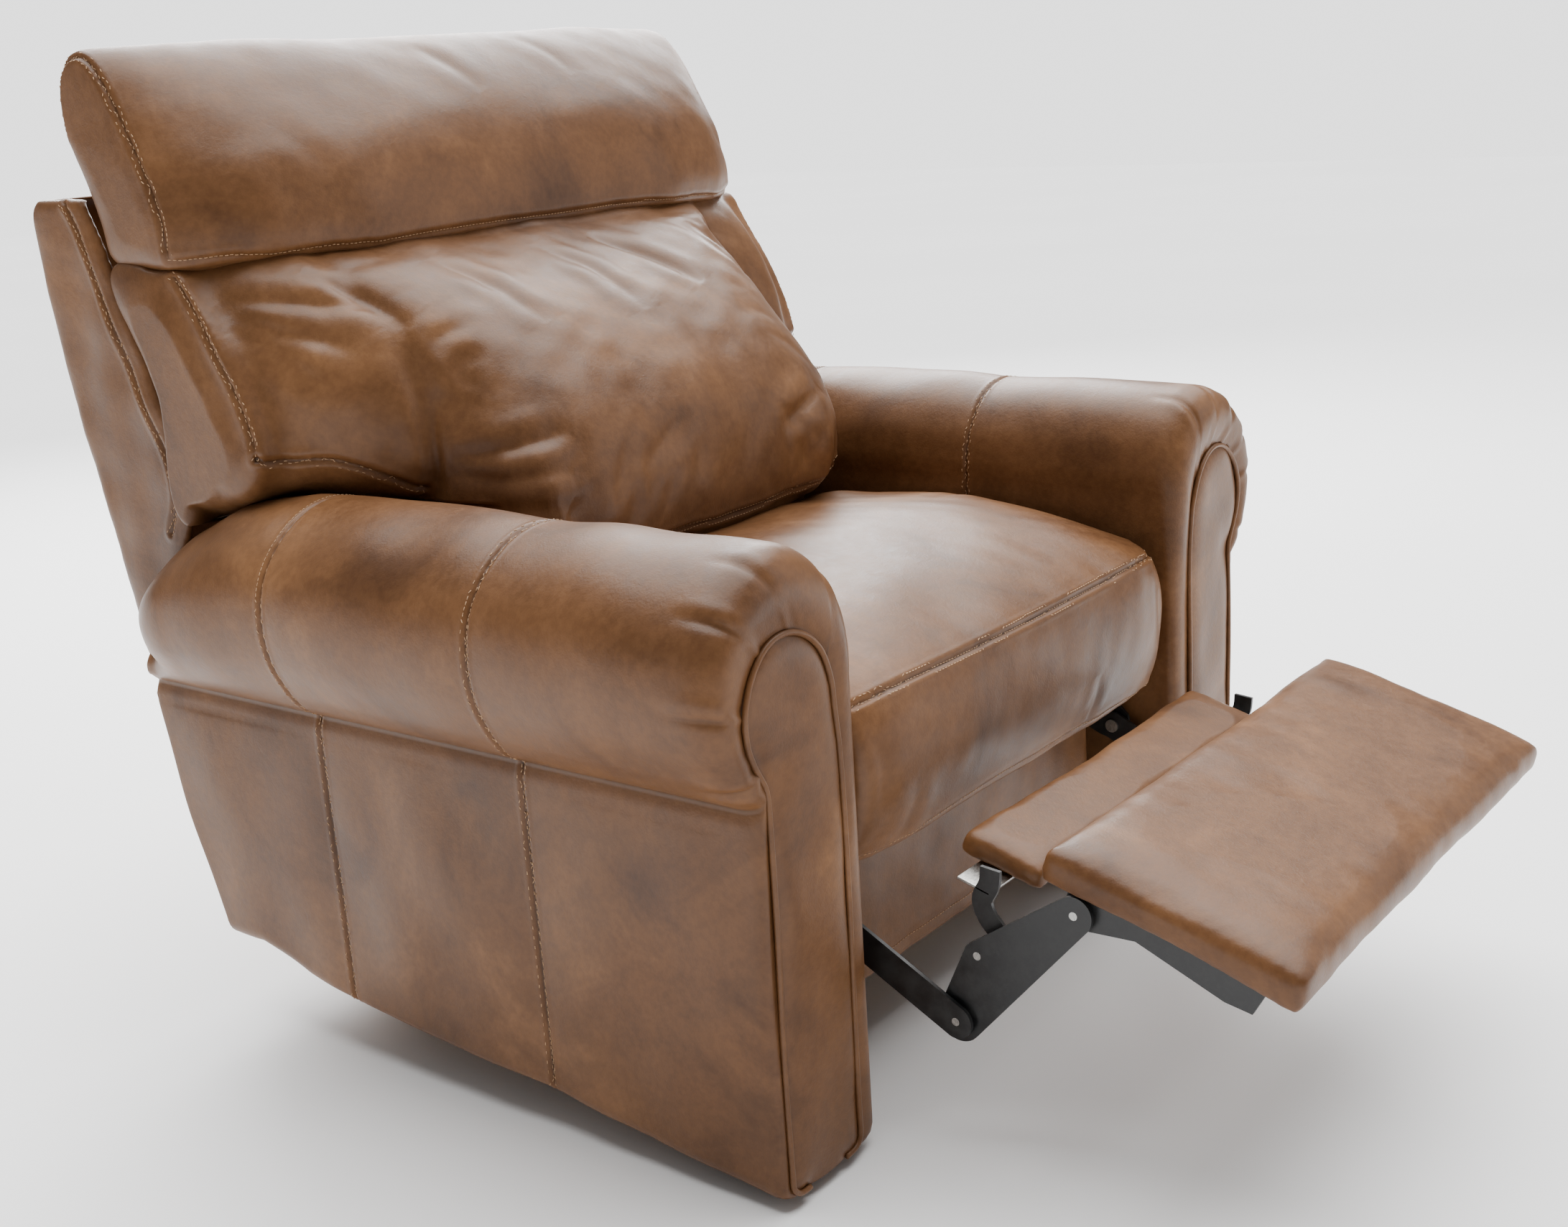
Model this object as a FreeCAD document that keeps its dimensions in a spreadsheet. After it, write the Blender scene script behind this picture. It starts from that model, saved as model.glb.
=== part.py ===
"""Rolled-arm recliner armchair: frame, upholstery blocks and footrest mechanism, in millimetres.

+X is to the right seen from the front, the chair faces -Y, +Z is up and the floor is z = 0.
Side outlines are written as (y, z) pairs, with y counted rearwards from the front of the arms.
The footrest is out and the back is upright, which is the rest position of every joint.
"""
import FreeCAD, Part
import Sketcher
import math
import os

Vector = FreeCAD.Vector
Rotation = FreeCAD.Rotation
Placement = FreeCAD.Placement

DIMENSIONS = {
    # overall layout
    "arm_front_y": -282.4,        # front of the arms, measured from the origin
    "seat_gap_half": 326.0,       # inner face of each arm
    "arm_outer_half": 477.0,      # outer face of each side panel
    "panel_thickness": 18.0,      # padded leather panels
    "arm_deck_height": 400.0,     # where the roll starts
    "arm_depth": 850.0,
    "rear_panel_width": 652.0,
    "webbing_thickness": 2.0,
    "facing_thickness": 12.0,
    # wood
    "board_thickness": 25.0,
    "base_rail_height": 60.0,
    "seat_rail_height": 46.0,
    "seat_rail_width": 34.0,
    # mechanism
    "plate_thickness": 4.0,
    "pin_radius": 4.0,
    "pin_clearance": 0.05,
    "rivet_head_radius": 8.0,
    "rivet_head_height": 3.0,
    "rear_link_width": 34.0,
    "wide_link_width": 46.0,
    "swing_link_width": 28.0,
    # upholstery
    "seat_cushion_width": 640.0,
    "back_cushion_width": 630.0,
    "back_width": 910.0,
    "ear_width": 153.0,
    "back_lean": 13.0,
    "outer_back_thickness": 20.0,
    "band_thickness": 18.0,
    "bolster_width": 924.0,
    # footrest
    "footrest_slope": 16.0,
    "footrest_width": 640.0,
    "footrest_length": 244.0,
    "footrest_pad_thickness": 28.0,
    "footrest_board_thickness": 14.0,
    "flipper_width": 492.0,
    "flipper_length": 88.0,
    "flipper_pad_thickness": 18.0,
    "flipper_board_thickness": 12.0,
    # feet
    "glide_height": 12.0,
    "glide_radius": 15.0,
}

doc = FreeCAD.newDocument("recliner")
sheet = doc.addObject("Spreadsheet::Sheet", "Dimensions")
for row, (alias, number) in enumerate(DIMENSIONS.items(), start=1):
    sheet.set(f"A{row}", alias)
    sheet.set(f"B{row}", str(number))
    sheet.setAlias(f"B{row}", alias)
doc.recompute()


def dim(alias):
    """The number in the sheet cell with this alias."""
    return float(sheet.get(alias))


FRONT = dim("arm_front_y")
PLATE = dim("plate_thickness")
SIDES = {"R": 1.0, "L": -1.0}

# Layers of the mechanism, as the smaller |x| of each plate, from the seat outwards.
STRAP_LAYER = 276.0
BRACKET_LAYER = 284.0
WIDE_LINK_LAYER = 292.0
REAR_LINK_LAYER = 300.0
SEAT_PLATE_LAYER = 308.0
SWING_LAYER = 316.0
BASE_PLATE_LAYER = 322.0
SIDE_PLAY = 0.3
HEAD = dim("rivet_head_height")
BAND_THICKNESS = dim("band_thickness")

# Pivots, as (y, z).
REAR_LINK_PIVOT = (74.0, 219.0)
KNEE_PIVOT = (-76.0, 139.0)
FOOTREST_PIVOT = (-198.0, 271.0)
FLIPPER_PIVOT = (-97.0, 208.0)
FRONT_SWING_PIVOT = (235.0, 200.0)
REAR_SWING_PIVOT = (415.0, 200.0)
SWING_RISE = (46.0, 38.6)
BACK_PIVOT = (720.0, 352.0)
FOOTREST_CORNER = (-186.0, 345.0)
FLIPPER_CORNER = (-57.0, 309.0)
EYELET_ALONG = 195.0
EYELET_BELOW = 67.0

nodes = []


def keep(item, label):
    """Give a finished sub-part its name and put it on the list to export."""
    item.Label = label
    nodes.append(item)
    return item


def lower_x(side, inner, thickness):
    """The smaller x of a plate whose inner face stands |x| = inner from the middle."""
    return inner if side > 0 else -inner - thickness


def body_plane(body, role):
    return next(item for item in body.Origin.OriginFeatures if item.Role == role)


def closed_lines(points):
    """Line segments round a polygon of (u, v) points."""
    corners = [Vector(u, v, 0) for u, v in points]
    return [Part.LineSegment(a, b) for a, b in zip(corners, corners[1:] + corners[:1])]


def side_pad(label, geometry, x_start, thickness, holes=()):
    """A body padded along +X from a side outline. thickness names a cell; holes are (y, z) pivots."""
    body = doc.addObject("PartDesign::Body", "Body_" + label)
    sketch = body.newObject("Sketcher::SketchObject", "Outline_" + label)
    sketch.AttachmentSupport = [(body_plane(body, "YZ_Plane"), "")]
    sketch.MapMode = "FlatFace"
    sketch.AttachmentOffset = Placement(Vector(FRONT, 0, x_start), Rotation())
    for item in geometry:
        sketch.addGeometry(item, False)
    add_holes(sketch, holes)
    pad = body.newObject("PartDesign::Pad", "Pad_" + label)
    pad.Profile = sketch
    pad.setExpression("Length", f"Dimensions.{thickness}")
    return body


def side_node(label, geometry, x_start, thickness, holes=()):
    """A side_pad that is a finished sub-part."""
    return keep(side_pad(label, geometry, x_start, thickness, holes), label)


def add_holes(sketch, holes):
    """Pivot holes, each a little wider than its pin."""
    for y, z in holes:
        circle = sketch.addGeometry(Part.Circle(Vector(y, z, 0), Vector(0, 0, 1), dim("pin_radius")), False)
        number = sketch.addConstraint(Sketcher.Constraint("Radius", circle, dim("pin_radius")))
        sketch.setExpression(f"Constraints[{number}]", "Dimensions.pin_radius + Dimensions.pin_clearance")


def block(name, sizes, corner, tilt=0.0):
    """A box. sizes are three sheet expressions; corner is its lowest corner; tilt turns it about +X."""
    item = doc.addObject("Part::Box", "Box_" + name)
    for side_name, expression in zip(("Length", "Width", "Height"), sizes):
        item.setExpression(side_name, expression)
    item.Placement = Placement(Vector(*corner), Rotation(Vector(1, 0, 0), tilt))
    return item


def box(label, sizes, corner, tilt=0.0, radius=0.0):
    """A block that is a finished sub-part, with all its edges rounded if it has a radius."""
    item = block(label, sizes, corner, tilt)
    if not radius:
        return keep(item, label)
    doc.recompute()
    rounded = doc.addObject("Part::Fillet", "Rounded_" + label)
    rounded.Base = item
    rounded.Edges = [(number + 1, radius, radius) for number in range(len(item.Shape.Edges))]
    return keep(rounded, label)


def rounded_hull(circles):
    """The outline round (y, z, radius) circles listed from +Y towards +Z: tangent lines and arcs."""
    tangents = []
    for (y1, z1, r1), (y2, z2, r2) in zip(circles, circles[1:] + circles[:1]):
        start, stop = Vector(y1, z1, 0), Vector(y2, z2, 0)
        along = (stop - start).normalize()
        slant = (r1 - r2) / (stop - start).Length
        normal = Vector(along.y, -along.x, 0) * math.sqrt(1.0 - slant ** 2) + along * slant
        tangents.append((start + normal * r1, stop + normal * r2, normal))
    edges = []
    for number, (y, z, radius) in enumerate(circles):
        arrival, departure = tangents[number - 1], tangents[number]
        first = math.atan2(arrival[2].y, arrival[2].x)
        turn = (math.atan2(departure[2].y, departure[2].x) - first) % (2.0 * math.pi)
        middle = first + turn / 2.0
        crest = Vector(y + radius * math.cos(middle), z + radius * math.sin(middle), 0)
        edges.append(Part.Arc(arrival[1], crest, departure[0]))
        edges.append(Part.LineSegment(departure[0], departure[1]))
    return edges


def link_bar(first, last, width):
    """The outline of a flat bar with a round end about each of two pivots."""
    return rounded_hull([(*first, width / 2), (*last, width / 2)])


def rivet(name, side, centre, faces):
    """A shouldered rivet. faces: |x| where its shank, shoulder, shaft and head start, and its end."""
    y, z = centre
    radii = (dim("pin_radius"), dim("rivet_head_radius"), dim("pin_radius"), dim("rivet_head_radius"))
    steps = []
    for number, (start, stop, radius) in enumerate(zip(faces, faces[1:], radii)):
        cylinder = doc.addObject("Part::Cylinder", f"{name}_{number}")
        cylinder.Height = abs(stop - start)
        alias = "pin_radius" if radius == dim("pin_radius") else "rivet_head_radius"
        cylinder.setExpression("Radius", f"Dimensions.{alias}")
        near = min(side * start, side * stop)
        cylinder.Placement = Placement(Vector(near, y + FRONT, z), Rotation(Vector(0, 1, 0), 90))
        steps.append(cylinder)
    fused = doc.addObject("Part::MultiFuse", name)
    fused.Shapes = steps
    return fused


def group(label, items):
    """Several separate solids kept as one node."""
    compound = doc.addObject("Part::Compound", "Group_" + label)
    compound.Links = items
    return keep(compound, label)


def rotated(point, centre, degrees):
    """A (y, z) point turned about a centre, from +Y towards +Z."""
    angle = math.radians(degrees)
    y, z = point[0] - centre[0], point[1] - centre[1]
    return (centre[0] + y * math.cos(angle) - z * math.sin(angle),
            centre[1] + y * math.sin(angle) + z * math.cos(angle))


def on_slope(corner, along, below, slope):
    """A point on a sloping footrest part: along its top from the rear edge, and below that top."""
    return rotated((corner[0] - along, corner[1] - below), corner, slope)


def on_back(up, forward):
    """A point on the leaning back, measured from its pivot."""
    return rotated((BACK_PIVOT[0] - forward, BACK_PIVOT[1] + up), BACK_PIVOT, -dim("back_lean"))


# ---- base: arms -----------------------------------------------------------------------------------

# The lower edge of the arm rises towards the rear, and its rear edge leans back.
ARM_BOTTOM = [(12.0, 12.0), (286.0, 43.0), (575.0, 65.0), (775.0, 102.0)]
ARM_REAR = [(775.0, 102.0), (848.0, 400.0)]


def arm_panel(label, x_start, front):
    top = dim("arm_deck_height")
    outline = [(front, ARM_BOTTOM[0][1])] + ARM_BOTTOM[1:] + [ARM_REAR[1], (front, top)]
    side_node(label, closed_lines(outline), x_start, "panel_thickness")


def arm_frame(name, side):
    """Two posts, a deck board and a sloping bottom rail between the padded panels."""
    inner = dim("seat_gap_half") + dim("panel_thickness")
    width = "Dimensions.arm_outer_half - Dimensions.seat_gap_half - 2 * Dimensions.panel_thickness"
    span = dim("arm_outer_half") - dim("seat_gap_half") - 2 * dim("panel_thickness")
    start = lower_x(side, inner, span)
    deck = dim("arm_deck_height")
    board = dim("board_thickness")
    blocks = [
        ("front_post", 15.0, 45.0, 20.0, deck - board),
        ("rear_post", 735.0, 45.0, 105.0, deck - board),
        ("deck_board", 15.0, 815.0, deck - board, deck),
        ("low_rail", 60.0, 675.0, 105.0, 105.0 + board),
    ]
    boards = []
    for piece, y, depth, low, high in blocks:
        block = doc.addObject("Part::Box", f"{piece}_{name}")
        block.setExpression("Length", width)
        block.Width = depth
        block.Height = high - low
        block.Placement = Placement(Vector(start, y + FRONT, low), Rotation())
        boards.append(block)
    group(f"arm_frame_{name}", boards)


ROLL_OUTLINE = [(326.0, 505.0), (350.0, 575.0), (414.0, 611.0), (486.0, 590.0), (532.0, 515.0),
                (519.0, 440.0), (478.0, 400.0)]
ROLL_REAR_TOP = [(560.0, 612.5), (607.0, 609.0), (700.0, 592.0), (782.0, 567.0), (862.0, 535.0)]


def arm_roll(name, side):
    """The rolled arm top: an oval section padded rearwards, with its top rounded down at the rear."""
    body = doc.addObject("PartDesign::Body", "Body_arm_roll_" + name)
    sketch = body.newObject("Sketcher::SketchObject", "Section_arm_roll_" + name)
    sketch.AttachmentSupport = [(body_plane(body, "XZ_Plane"), "")]
    sketch.MapMode = "FlatFace"
    rear = FRONT + dim("arm_depth")
    sketch.AttachmentOffset = Placement(Vector(0, 0, -rear), Rotation())
    points = [Vector(side * x, z, 0) for x, z in ROLL_OUTLINE]
    curve = Part.BSplineCurve()
    curve.interpolate(points)
    inner_foot = Vector(side * dim("seat_gap_half"), dim("arm_deck_height"), 0)
    sketch.addGeometry(curve, False)
    sketch.addGeometry(Part.LineSegment(points[-1], inner_foot), False)
    sketch.addGeometry(Part.LineSegment(inner_foot, points[0]), False)
    pad = body.newObject("PartDesign::Pad", "Pad_arm_roll_" + name)
    pad.Profile = sketch
    pad.setExpression("Length", "Dimensions.arm_depth - Dimensions.facing_thickness")
    doc.recompute()
    before = pad.Shape.Volume
    cutter = body.newObject("Sketcher::SketchObject", "RearTop_arm_roll_" + name)
    cutter.AttachmentSupport = [(body_plane(body, "YZ_Plane"), "")]
    cutter.MapMode = "FlatFace"
    cutter.AttachmentOffset = Placement(Vector(FRONT, 0, 0), Rotation())
    drop = [Vector(y, z, 0) for y, z in ROLL_REAR_TOP]
    slope = Part.BSplineCurve()
    slope.interpolate(drop)
    above = dim("arm_deck_height") + 300.0
    cutter.addGeometry(slope, False)
    for a, b in ((drop[-1], Vector(drop[-1].x, above, 0)),
                 (Vector(drop[-1].x, above, 0), Vector(drop[0].x, above, 0)),
                 (Vector(drop[0].x, above, 0), drop[0])):
        cutter.addGeometry(Part.LineSegment(a, b), False)
    pocket = body.newObject("PartDesign::Pocket", "Pocket_arm_roll_" + name)
    pocket.Profile = cutter
    pocket.Type = "ThroughAll"
    pocket.Midplane = True
    doc.recompute()
    if pocket.Shape.Volume >= before:
        raise RuntimeError("the rear of the arm roll was not rounded")
    keep(body, "arm_roll_" + name)


def front_facing(name, side):
    """The flat front panel of an arm: a narrow board that ends in a round scroll."""
    inner, outer, neck = 359.0, 466.0, 412.0
    scroll = Vector(side * 429.5, 479.0, 0)
    radius = 62.0
    reach = lambda degrees: scroll + Vector(side * math.cos(math.radians(degrees)),
                                            math.sin(math.radians(degrees)), 0) * radius
    left, right = reach(218.0), reach(-42.0)
    foot = ARM_BOTTOM[0][1]
    body = doc.addObject("PartDesign::Body", "Body_front_facing_" + name)
    sketch = body.newObject("Sketcher::SketchObject", "Outline_front_facing_" + name)
    sketch.AttachmentSupport = [(body_plane(body, "XZ_Plane"), "")]
    sketch.MapMode = "FlatFace"
    sketch.AttachmentOffset = Placement(Vector(0, 0, -FRONT - dim("facing_thickness")), Rotation())
    corners = [right, Vector(side * outer, neck, 0), Vector(side * outer, foot, 0),
               Vector(side * inner, foot, 0), Vector(side * inner, neck, 0), left]
    for a, b in zip(corners, corners[1:]):
        sketch.addGeometry(Part.LineSegment(a, b), False)
    sketch.addGeometry(Part.Arc(left, reach(90.0), right), False)
    pad = body.newObject("PartDesign::Pad", "Pad_front_facing_" + name)
    pad.Profile = sketch
    pad.setExpression("Length", "Dimensions.facing_thickness")
    keep(body, "front_facing_" + name)


def arms():
    panel = dim("panel_thickness")
    for name, side in SIDES.items():
        inner = lower_x(side, dim("seat_gap_half"), panel)
        outer = lower_x(side, dim("arm_outer_half") - panel, panel)
        arm_panel("arm_inner_panel_" + name, inner, dim("facing_thickness"))
        arm_panel("arm_outer_panel_" + name, outer, dim("facing_thickness"))
        arm_frame(name, side)
        arm_roll(name, side)
        front_facing(name, side)


# ---- base: frame, feet and mechanism plates -------------------------------------------------------

RUNNER_INNER = 270.0
RUNNER_WIDTH = 30.0
RUNNER_START = 290.0
RUNNER_END = 700.0


def base_frame():
    across = "2 * Dimensions.seat_gap_half"
    gap = dim("seat_gap_half")
    board = "Dimensions.board_thickness"
    foot = dim("glide_height")
    box("base_rail_front", (across, board, "Dimensions.base_rail_height"),
        (-gap, RUNNER_START - dim("board_thickness") + FRONT, foot + 16.0))
    box("base_rail_rear", (across, board, "2 * Dimensions.base_rail_height"),
        (-gap, RUNNER_END + FRONT, foot + 16.0))
    for name, side in SIDES.items():
        box("base_runner_" + name,
            (f"{RUNNER_WIDTH}", f"{RUNNER_END - RUNNER_START}", "Dimensions.base_rail_height"),
            (lower_x(side, RUNNER_INNER, RUNNER_WIDTH), RUNNER_START + FRONT, foot))
    side_node("rear_lower_panel",
              closed_lines([(745.0, 112.0), (760.0, 112.0), (804.0, 300.0), (789.0, 300.0)]),
              -gap, "rear_panel_width")


def floor_glides():
    under_arm = (dim("seat_gap_half") + dim("arm_outer_half")) / 2 + 10.0
    under_runner = RUNNER_INNER + RUNNER_WIDTH / 2
    places = [(under_arm, 40.0), (under_runner, RUNNER_START + 40.0), (under_runner, RUNNER_END - 40.0)]
    pads = []
    for side in SIDES.values():
        for number, (x, y) in enumerate(places):
            glide = doc.addObject("Part::Cylinder", f"glide_{number}")
            glide.setExpression("Radius", "Dimensions.glide_radius")
            glide.setExpression("Height", "Dimensions.glide_height")
            glide.Placement = Placement(Vector(side * x, y + FRONT, 0), Rotation())
            pads.append(glide)
    group("floor_glides", pads)


def base_plates():
    """Steel plates on the inner faces of the arms that carry the swing links and the back."""
    outline = [(205.0, 172.0), (745.0, 172.0), (745.0, 380.0), (695.0, 380.0), (670.0, 228.0), (205.0, 228.0)]
    pivots = (FRONT_SWING_PIVOT, REAR_SWING_PIVOT, BACK_PIVOT)
    faces = (BASE_PLATE_LAYER + PLATE, BASE_PLATE_LAYER, SWING_LAYER + PLATE + SIDE_PLAY,
             SWING_LAYER - SIDE_PLAY, SWING_LAYER - SIDE_PLAY - HEAD)
    rivets = []
    for name, side in SIDES.items():
        side_node("base_plate_" + name, closed_lines(outline), lower_x(side, BASE_PLATE_LAYER, PLATE),
                  "plate_thickness", pivots)
        for number, pivot in enumerate(pivots):
            rivets.append(rivet(f"base_rivet_{name}_{number}", side, pivot, faces))
    group("base_rivets", rivets)


# ---- seat carriage --------------------------------------------------------------------------------

SWING_TOPS = [(pivot[0] + SWING_RISE[0], pivot[1] + SWING_RISE[1])
              for pivot in (FRONT_SWING_PIVOT, REAR_SWING_PIVOT)]
SEAT_RAIL_LOW = 240.0
SEAT_FRAME_FRONT = 97.0
SEAT_FRAME_REAR = 495.0


def swing_links():
    for place, pivot, top in (("front", FRONT_SWING_PIVOT, SWING_TOPS[0]),
                              ("rear", REAR_SWING_PIVOT, SWING_TOPS[1])):
        pair = [side_pad(f"{place}_swing_link_{name}", link_bar(pivot, top, dim("swing_link_width")),
                         lower_x(side, SWING_LAYER, PLATE), "plate_thickness", (pivot, top))
                for name, side in SIDES.items()]
        group(f"{place}_swing_links", pair)


def seat_plates():
    """Steel side plates of the seat, with the rivets of the footrest and of the swing links."""
    outline = [(52.0, 205.0), (74.0, 197.0), (96.0, 203.0), (140.0, 222.0), (495.0, 222.0), (495.0, 286.0),
               (112.0, 286.0), (58.0, 232.0)]
    inward = (SEAT_PLATE_LAYER + PLATE, SEAT_PLATE_LAYER, REAR_LINK_LAYER + PLATE + SIDE_PLAY,
              REAR_LINK_LAYER - SIDE_PLAY, REAR_LINK_LAYER - SIDE_PLAY - HEAD)
    outward = (SEAT_PLATE_LAYER, SEAT_PLATE_LAYER + PLATE, SWING_LAYER - SIDE_PLAY,
               SWING_LAYER + PLATE + SIDE_PLAY, BASE_PLATE_LAYER - SIDE_PLAY)
    rivets = []
    for name, side in SIDES.items():
        side_node("seat_plate_" + name, closed_lines(outline), lower_x(side, SEAT_PLATE_LAYER, PLATE),
                  "plate_thickness", [REAR_LINK_PIVOT] + SWING_TOPS)
        rivets.append(rivet(f"seat_rivet_{name}", side, REAR_LINK_PIVOT, inward))
        for number, top in enumerate(SWING_TOPS):
            rivets.append(rivet(f"swing_rivet_{name}_{number}", side, top, outward))
    group("seat_rivets", rivets)


def seat_frame():
    """Rails, webbing and the covered board that hangs under the front of the seat."""
    board = dim("board_thickness")
    rail = dim("seat_rail_width")
    half = SEAT_PLATE_LAYER
    height = "Dimensions.seat_rail_height"
    length = SEAT_FRAME_REAR - SEAT_FRAME_FRONT - board
    for name, side in SIDES.items():
        box("seat_side_rail_" + name, ("Dimensions.seat_rail_width", f"{length}", height),
            (lower_x(side, half - rail, rail), SEAT_FRAME_FRONT + board + FRONT, SEAT_RAIL_LOW))
    box("seat_front_rail", (f"{2 * half}", "Dimensions.board_thickness", height),
        (-half, SEAT_FRAME_FRONT + FRONT, SEAT_RAIL_LOW))
    box("seat_rear_rail", (f"{2 * half} - 2 * Dimensions.seat_rail_width", "Dimensions.board_thickness", height),
        (rail - half, SEAT_FRAME_REAR - board + FRONT, SEAT_RAIL_LOW))
    strap_width, strap_pitch, strap_count = 60.0, 105.0, 5
    straps = []
    for number in range(strap_count):
        strap = doc.addObject("Part::Box", f"seat_strap_{number}")
        strap.Length = strap_width
        strap.Width = SEAT_FRAME_REAR - SEAT_FRAME_FRONT
        strap.setExpression("Height", "Dimensions.webbing_thickness")
        start = (number - (strap_count - 1) / 2) * strap_pitch - strap_width / 2
        top = SEAT_RAIL_LOW + dim("seat_rail_height")
        strap.Placement = Placement(Vector(start, SEAT_FRAME_FRONT + FRONT, top), Rotation())
        straps.append(strap)
    group("seat_webbing", straps)
    apron_half, apron_depth, apron_low = 266.0, 10.0, 102.0
    box("seat_apron", (f"{2 * apron_half}", f"{apron_depth}", f"{SEAT_RAIL_LOW - apron_low} + {height}"),
        (-apron_half, SEAT_FRAME_FRONT - apron_depth + FRONT, apron_low))


def seat_cushion():
    under = SEAT_RAIL_LOW + dim("seat_rail_height") + dim("webbing_thickness") + 1.0
    nose = 266.0
    top = [(22.0, nose), (16.0, 322.0), (8.0, 400.0), (8.0, 438.0), (34.0, 459.0), (110.0, 487.0),
           (265.0, 508.0), (400.0, 497.0), (492.0, 474.0)]
    outline = smooth_outline(top) + lines([top[-1], (492.0, under), (84.0, under), (84.0, nose), top[0]])
    side_node("seat_cushion", outline, -dim("seat_cushion_width") / 2, "seat_cushion_width")


def lines(points):
    """Line segments through (y, z) points, left open."""
    corners = [Vector(y, z, 0) for y, z in points]
    return [Part.LineSegment(a, b) for a, b in zip(corners, corners[1:])]


def smooth_outline(points):
    """One smooth curve through (y, z) points."""
    curve = Part.BSplineCurve()
    curve.interpolate([Vector(y, z, 0) for y, z in points])
    return [curve]


# ---- footrest -------------------------------------------------------------------------------------

def rear_footrest_links():
    """The lowest link on each side, with the knee rivet that carries the wide link."""
    faces = (REAR_LINK_LAYER + PLATE, REAR_LINK_LAYER, WIDE_LINK_LAYER + PLATE + SIDE_PLAY,
             WIDE_LINK_LAYER - SIDE_PLAY, WIDE_LINK_LAYER - SIDE_PLAY - HEAD)
    rivets = []
    for name, side in SIDES.items():
        side_node("rear_footrest_link_" + name,
                  link_bar(REAR_LINK_PIVOT, KNEE_PIVOT, dim("rear_link_width")),
                  lower_x(side, REAR_LINK_LAYER, PLATE), "plate_thickness", (REAR_LINK_PIVOT, KNEE_PIVOT))
        rivets.append(rivet("knee_rivet_" + name, side, KNEE_PIVOT, faces))
    group("knee_rivets", rivets)


def wide_footrest_links():
    """The broad link on each side, from the knee to the footrest, with an ear for the flipper."""
    end = dim("wide_link_width") / 2
    outline = rounded_hull([(*KNEE_PIVOT, end), (*FLIPPER_PIVOT, end * 0.6), (*FOOTREST_PIVOT, end * 0.8)])
    pins = {"footrest": (FOOTREST_PIVOT, BRACKET_LAYER), "flipper": (FLIPPER_PIVOT, STRAP_LAYER)}
    rivets = []
    for name, side in SIDES.items():
        side_node("wide_footrest_link_" + name, outline, lower_x(side, WIDE_LINK_LAYER, PLATE),
                  "plate_thickness", (KNEE_PIVOT, FLIPPER_PIVOT, FOOTREST_PIVOT))
        for what, (pivot, layer) in pins.items():
            faces = (WIDE_LINK_LAYER + PLATE, WIDE_LINK_LAYER, layer + PLATE + SIDE_PLAY,
                     layer - SIDE_PLAY, layer - SIDE_PLAY - HEAD)
            rivets.append(rivet(f"{what}_rivet_{name}", side, pivot, faces))
    group("wide_link_rivets", rivets)


def padded_panel(label, corner, width, length, board, pad, inset):
    """A sloping board with a pad on it. width, length, board and pad are cell names."""
    slope = dim("footrest_slope")
    y, z = on_slope(corner, dim(length), dim(pad), slope)
    box(label + "_pad", [f"Dimensions.{cell}" for cell in (width, length, pad)],
        (-dim(width) / 2, y + FRONT, z), slope, dim(pad) * 0.35)
    y, z = on_slope(corner, dim(length) - inset, dim(pad) + dim(board), slope)
    box(label + "_board",
        (f"Dimensions.{width} - {2 * inset}", f"Dimensions.{length} - {2 * inset}", f"Dimensions.{board}"),
        (-dim(width) / 2 + inset, y + FRONT, z), slope)


def footrest():
    slope = dim("footrest_slope")
    padded_panel("footrest", FOOTREST_CORNER, "footrest_width", "footrest_length",
                 "footrest_board_thickness", "footrest_pad_thickness", 12.0)
    under = dim("footrest_pad_thickness") + dim("footrest_board_thickness")
    shape = [(18.0, under), (18.0, 74.0), (30.0, 82.0), (46.0, 80.0), (90.0, 66.0), (180.0, 78.0),
             (206.0, 76.0), (214.0, under)]
    outline = closed_lines([on_slope(FOOTREST_CORNER, along, below, slope) for along, below in shape])
    eyelet_radius, eyelet_depth = 11.0, 5.0
    y, z = on_slope(FOOTREST_CORNER, EYELET_ALONG, EYELET_BELOW, slope)
    eyelets = []
    for name, side in SIDES.items():
        side_node("footrest_bracket_" + name, outline, lower_x(side, BRACKET_LAYER, PLATE),
                  "plate_thickness", (FOOTREST_PIVOT,))
        eyelet = doc.addObject("Part::Cylinder", "eyelet_" + name)
        eyelet.Radius = eyelet_radius
        eyelet.Height = eyelet_depth
        near = lower_x(side, BRACKET_LAYER - eyelet_depth, eyelet_depth)
        eyelet.Placement = Placement(Vector(near, y + FRONT, z), Rotation(Vector(0, 1, 0), 90))
        eyelets.append(eyelet)
    group("footrest_eyelets", eyelets)


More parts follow.
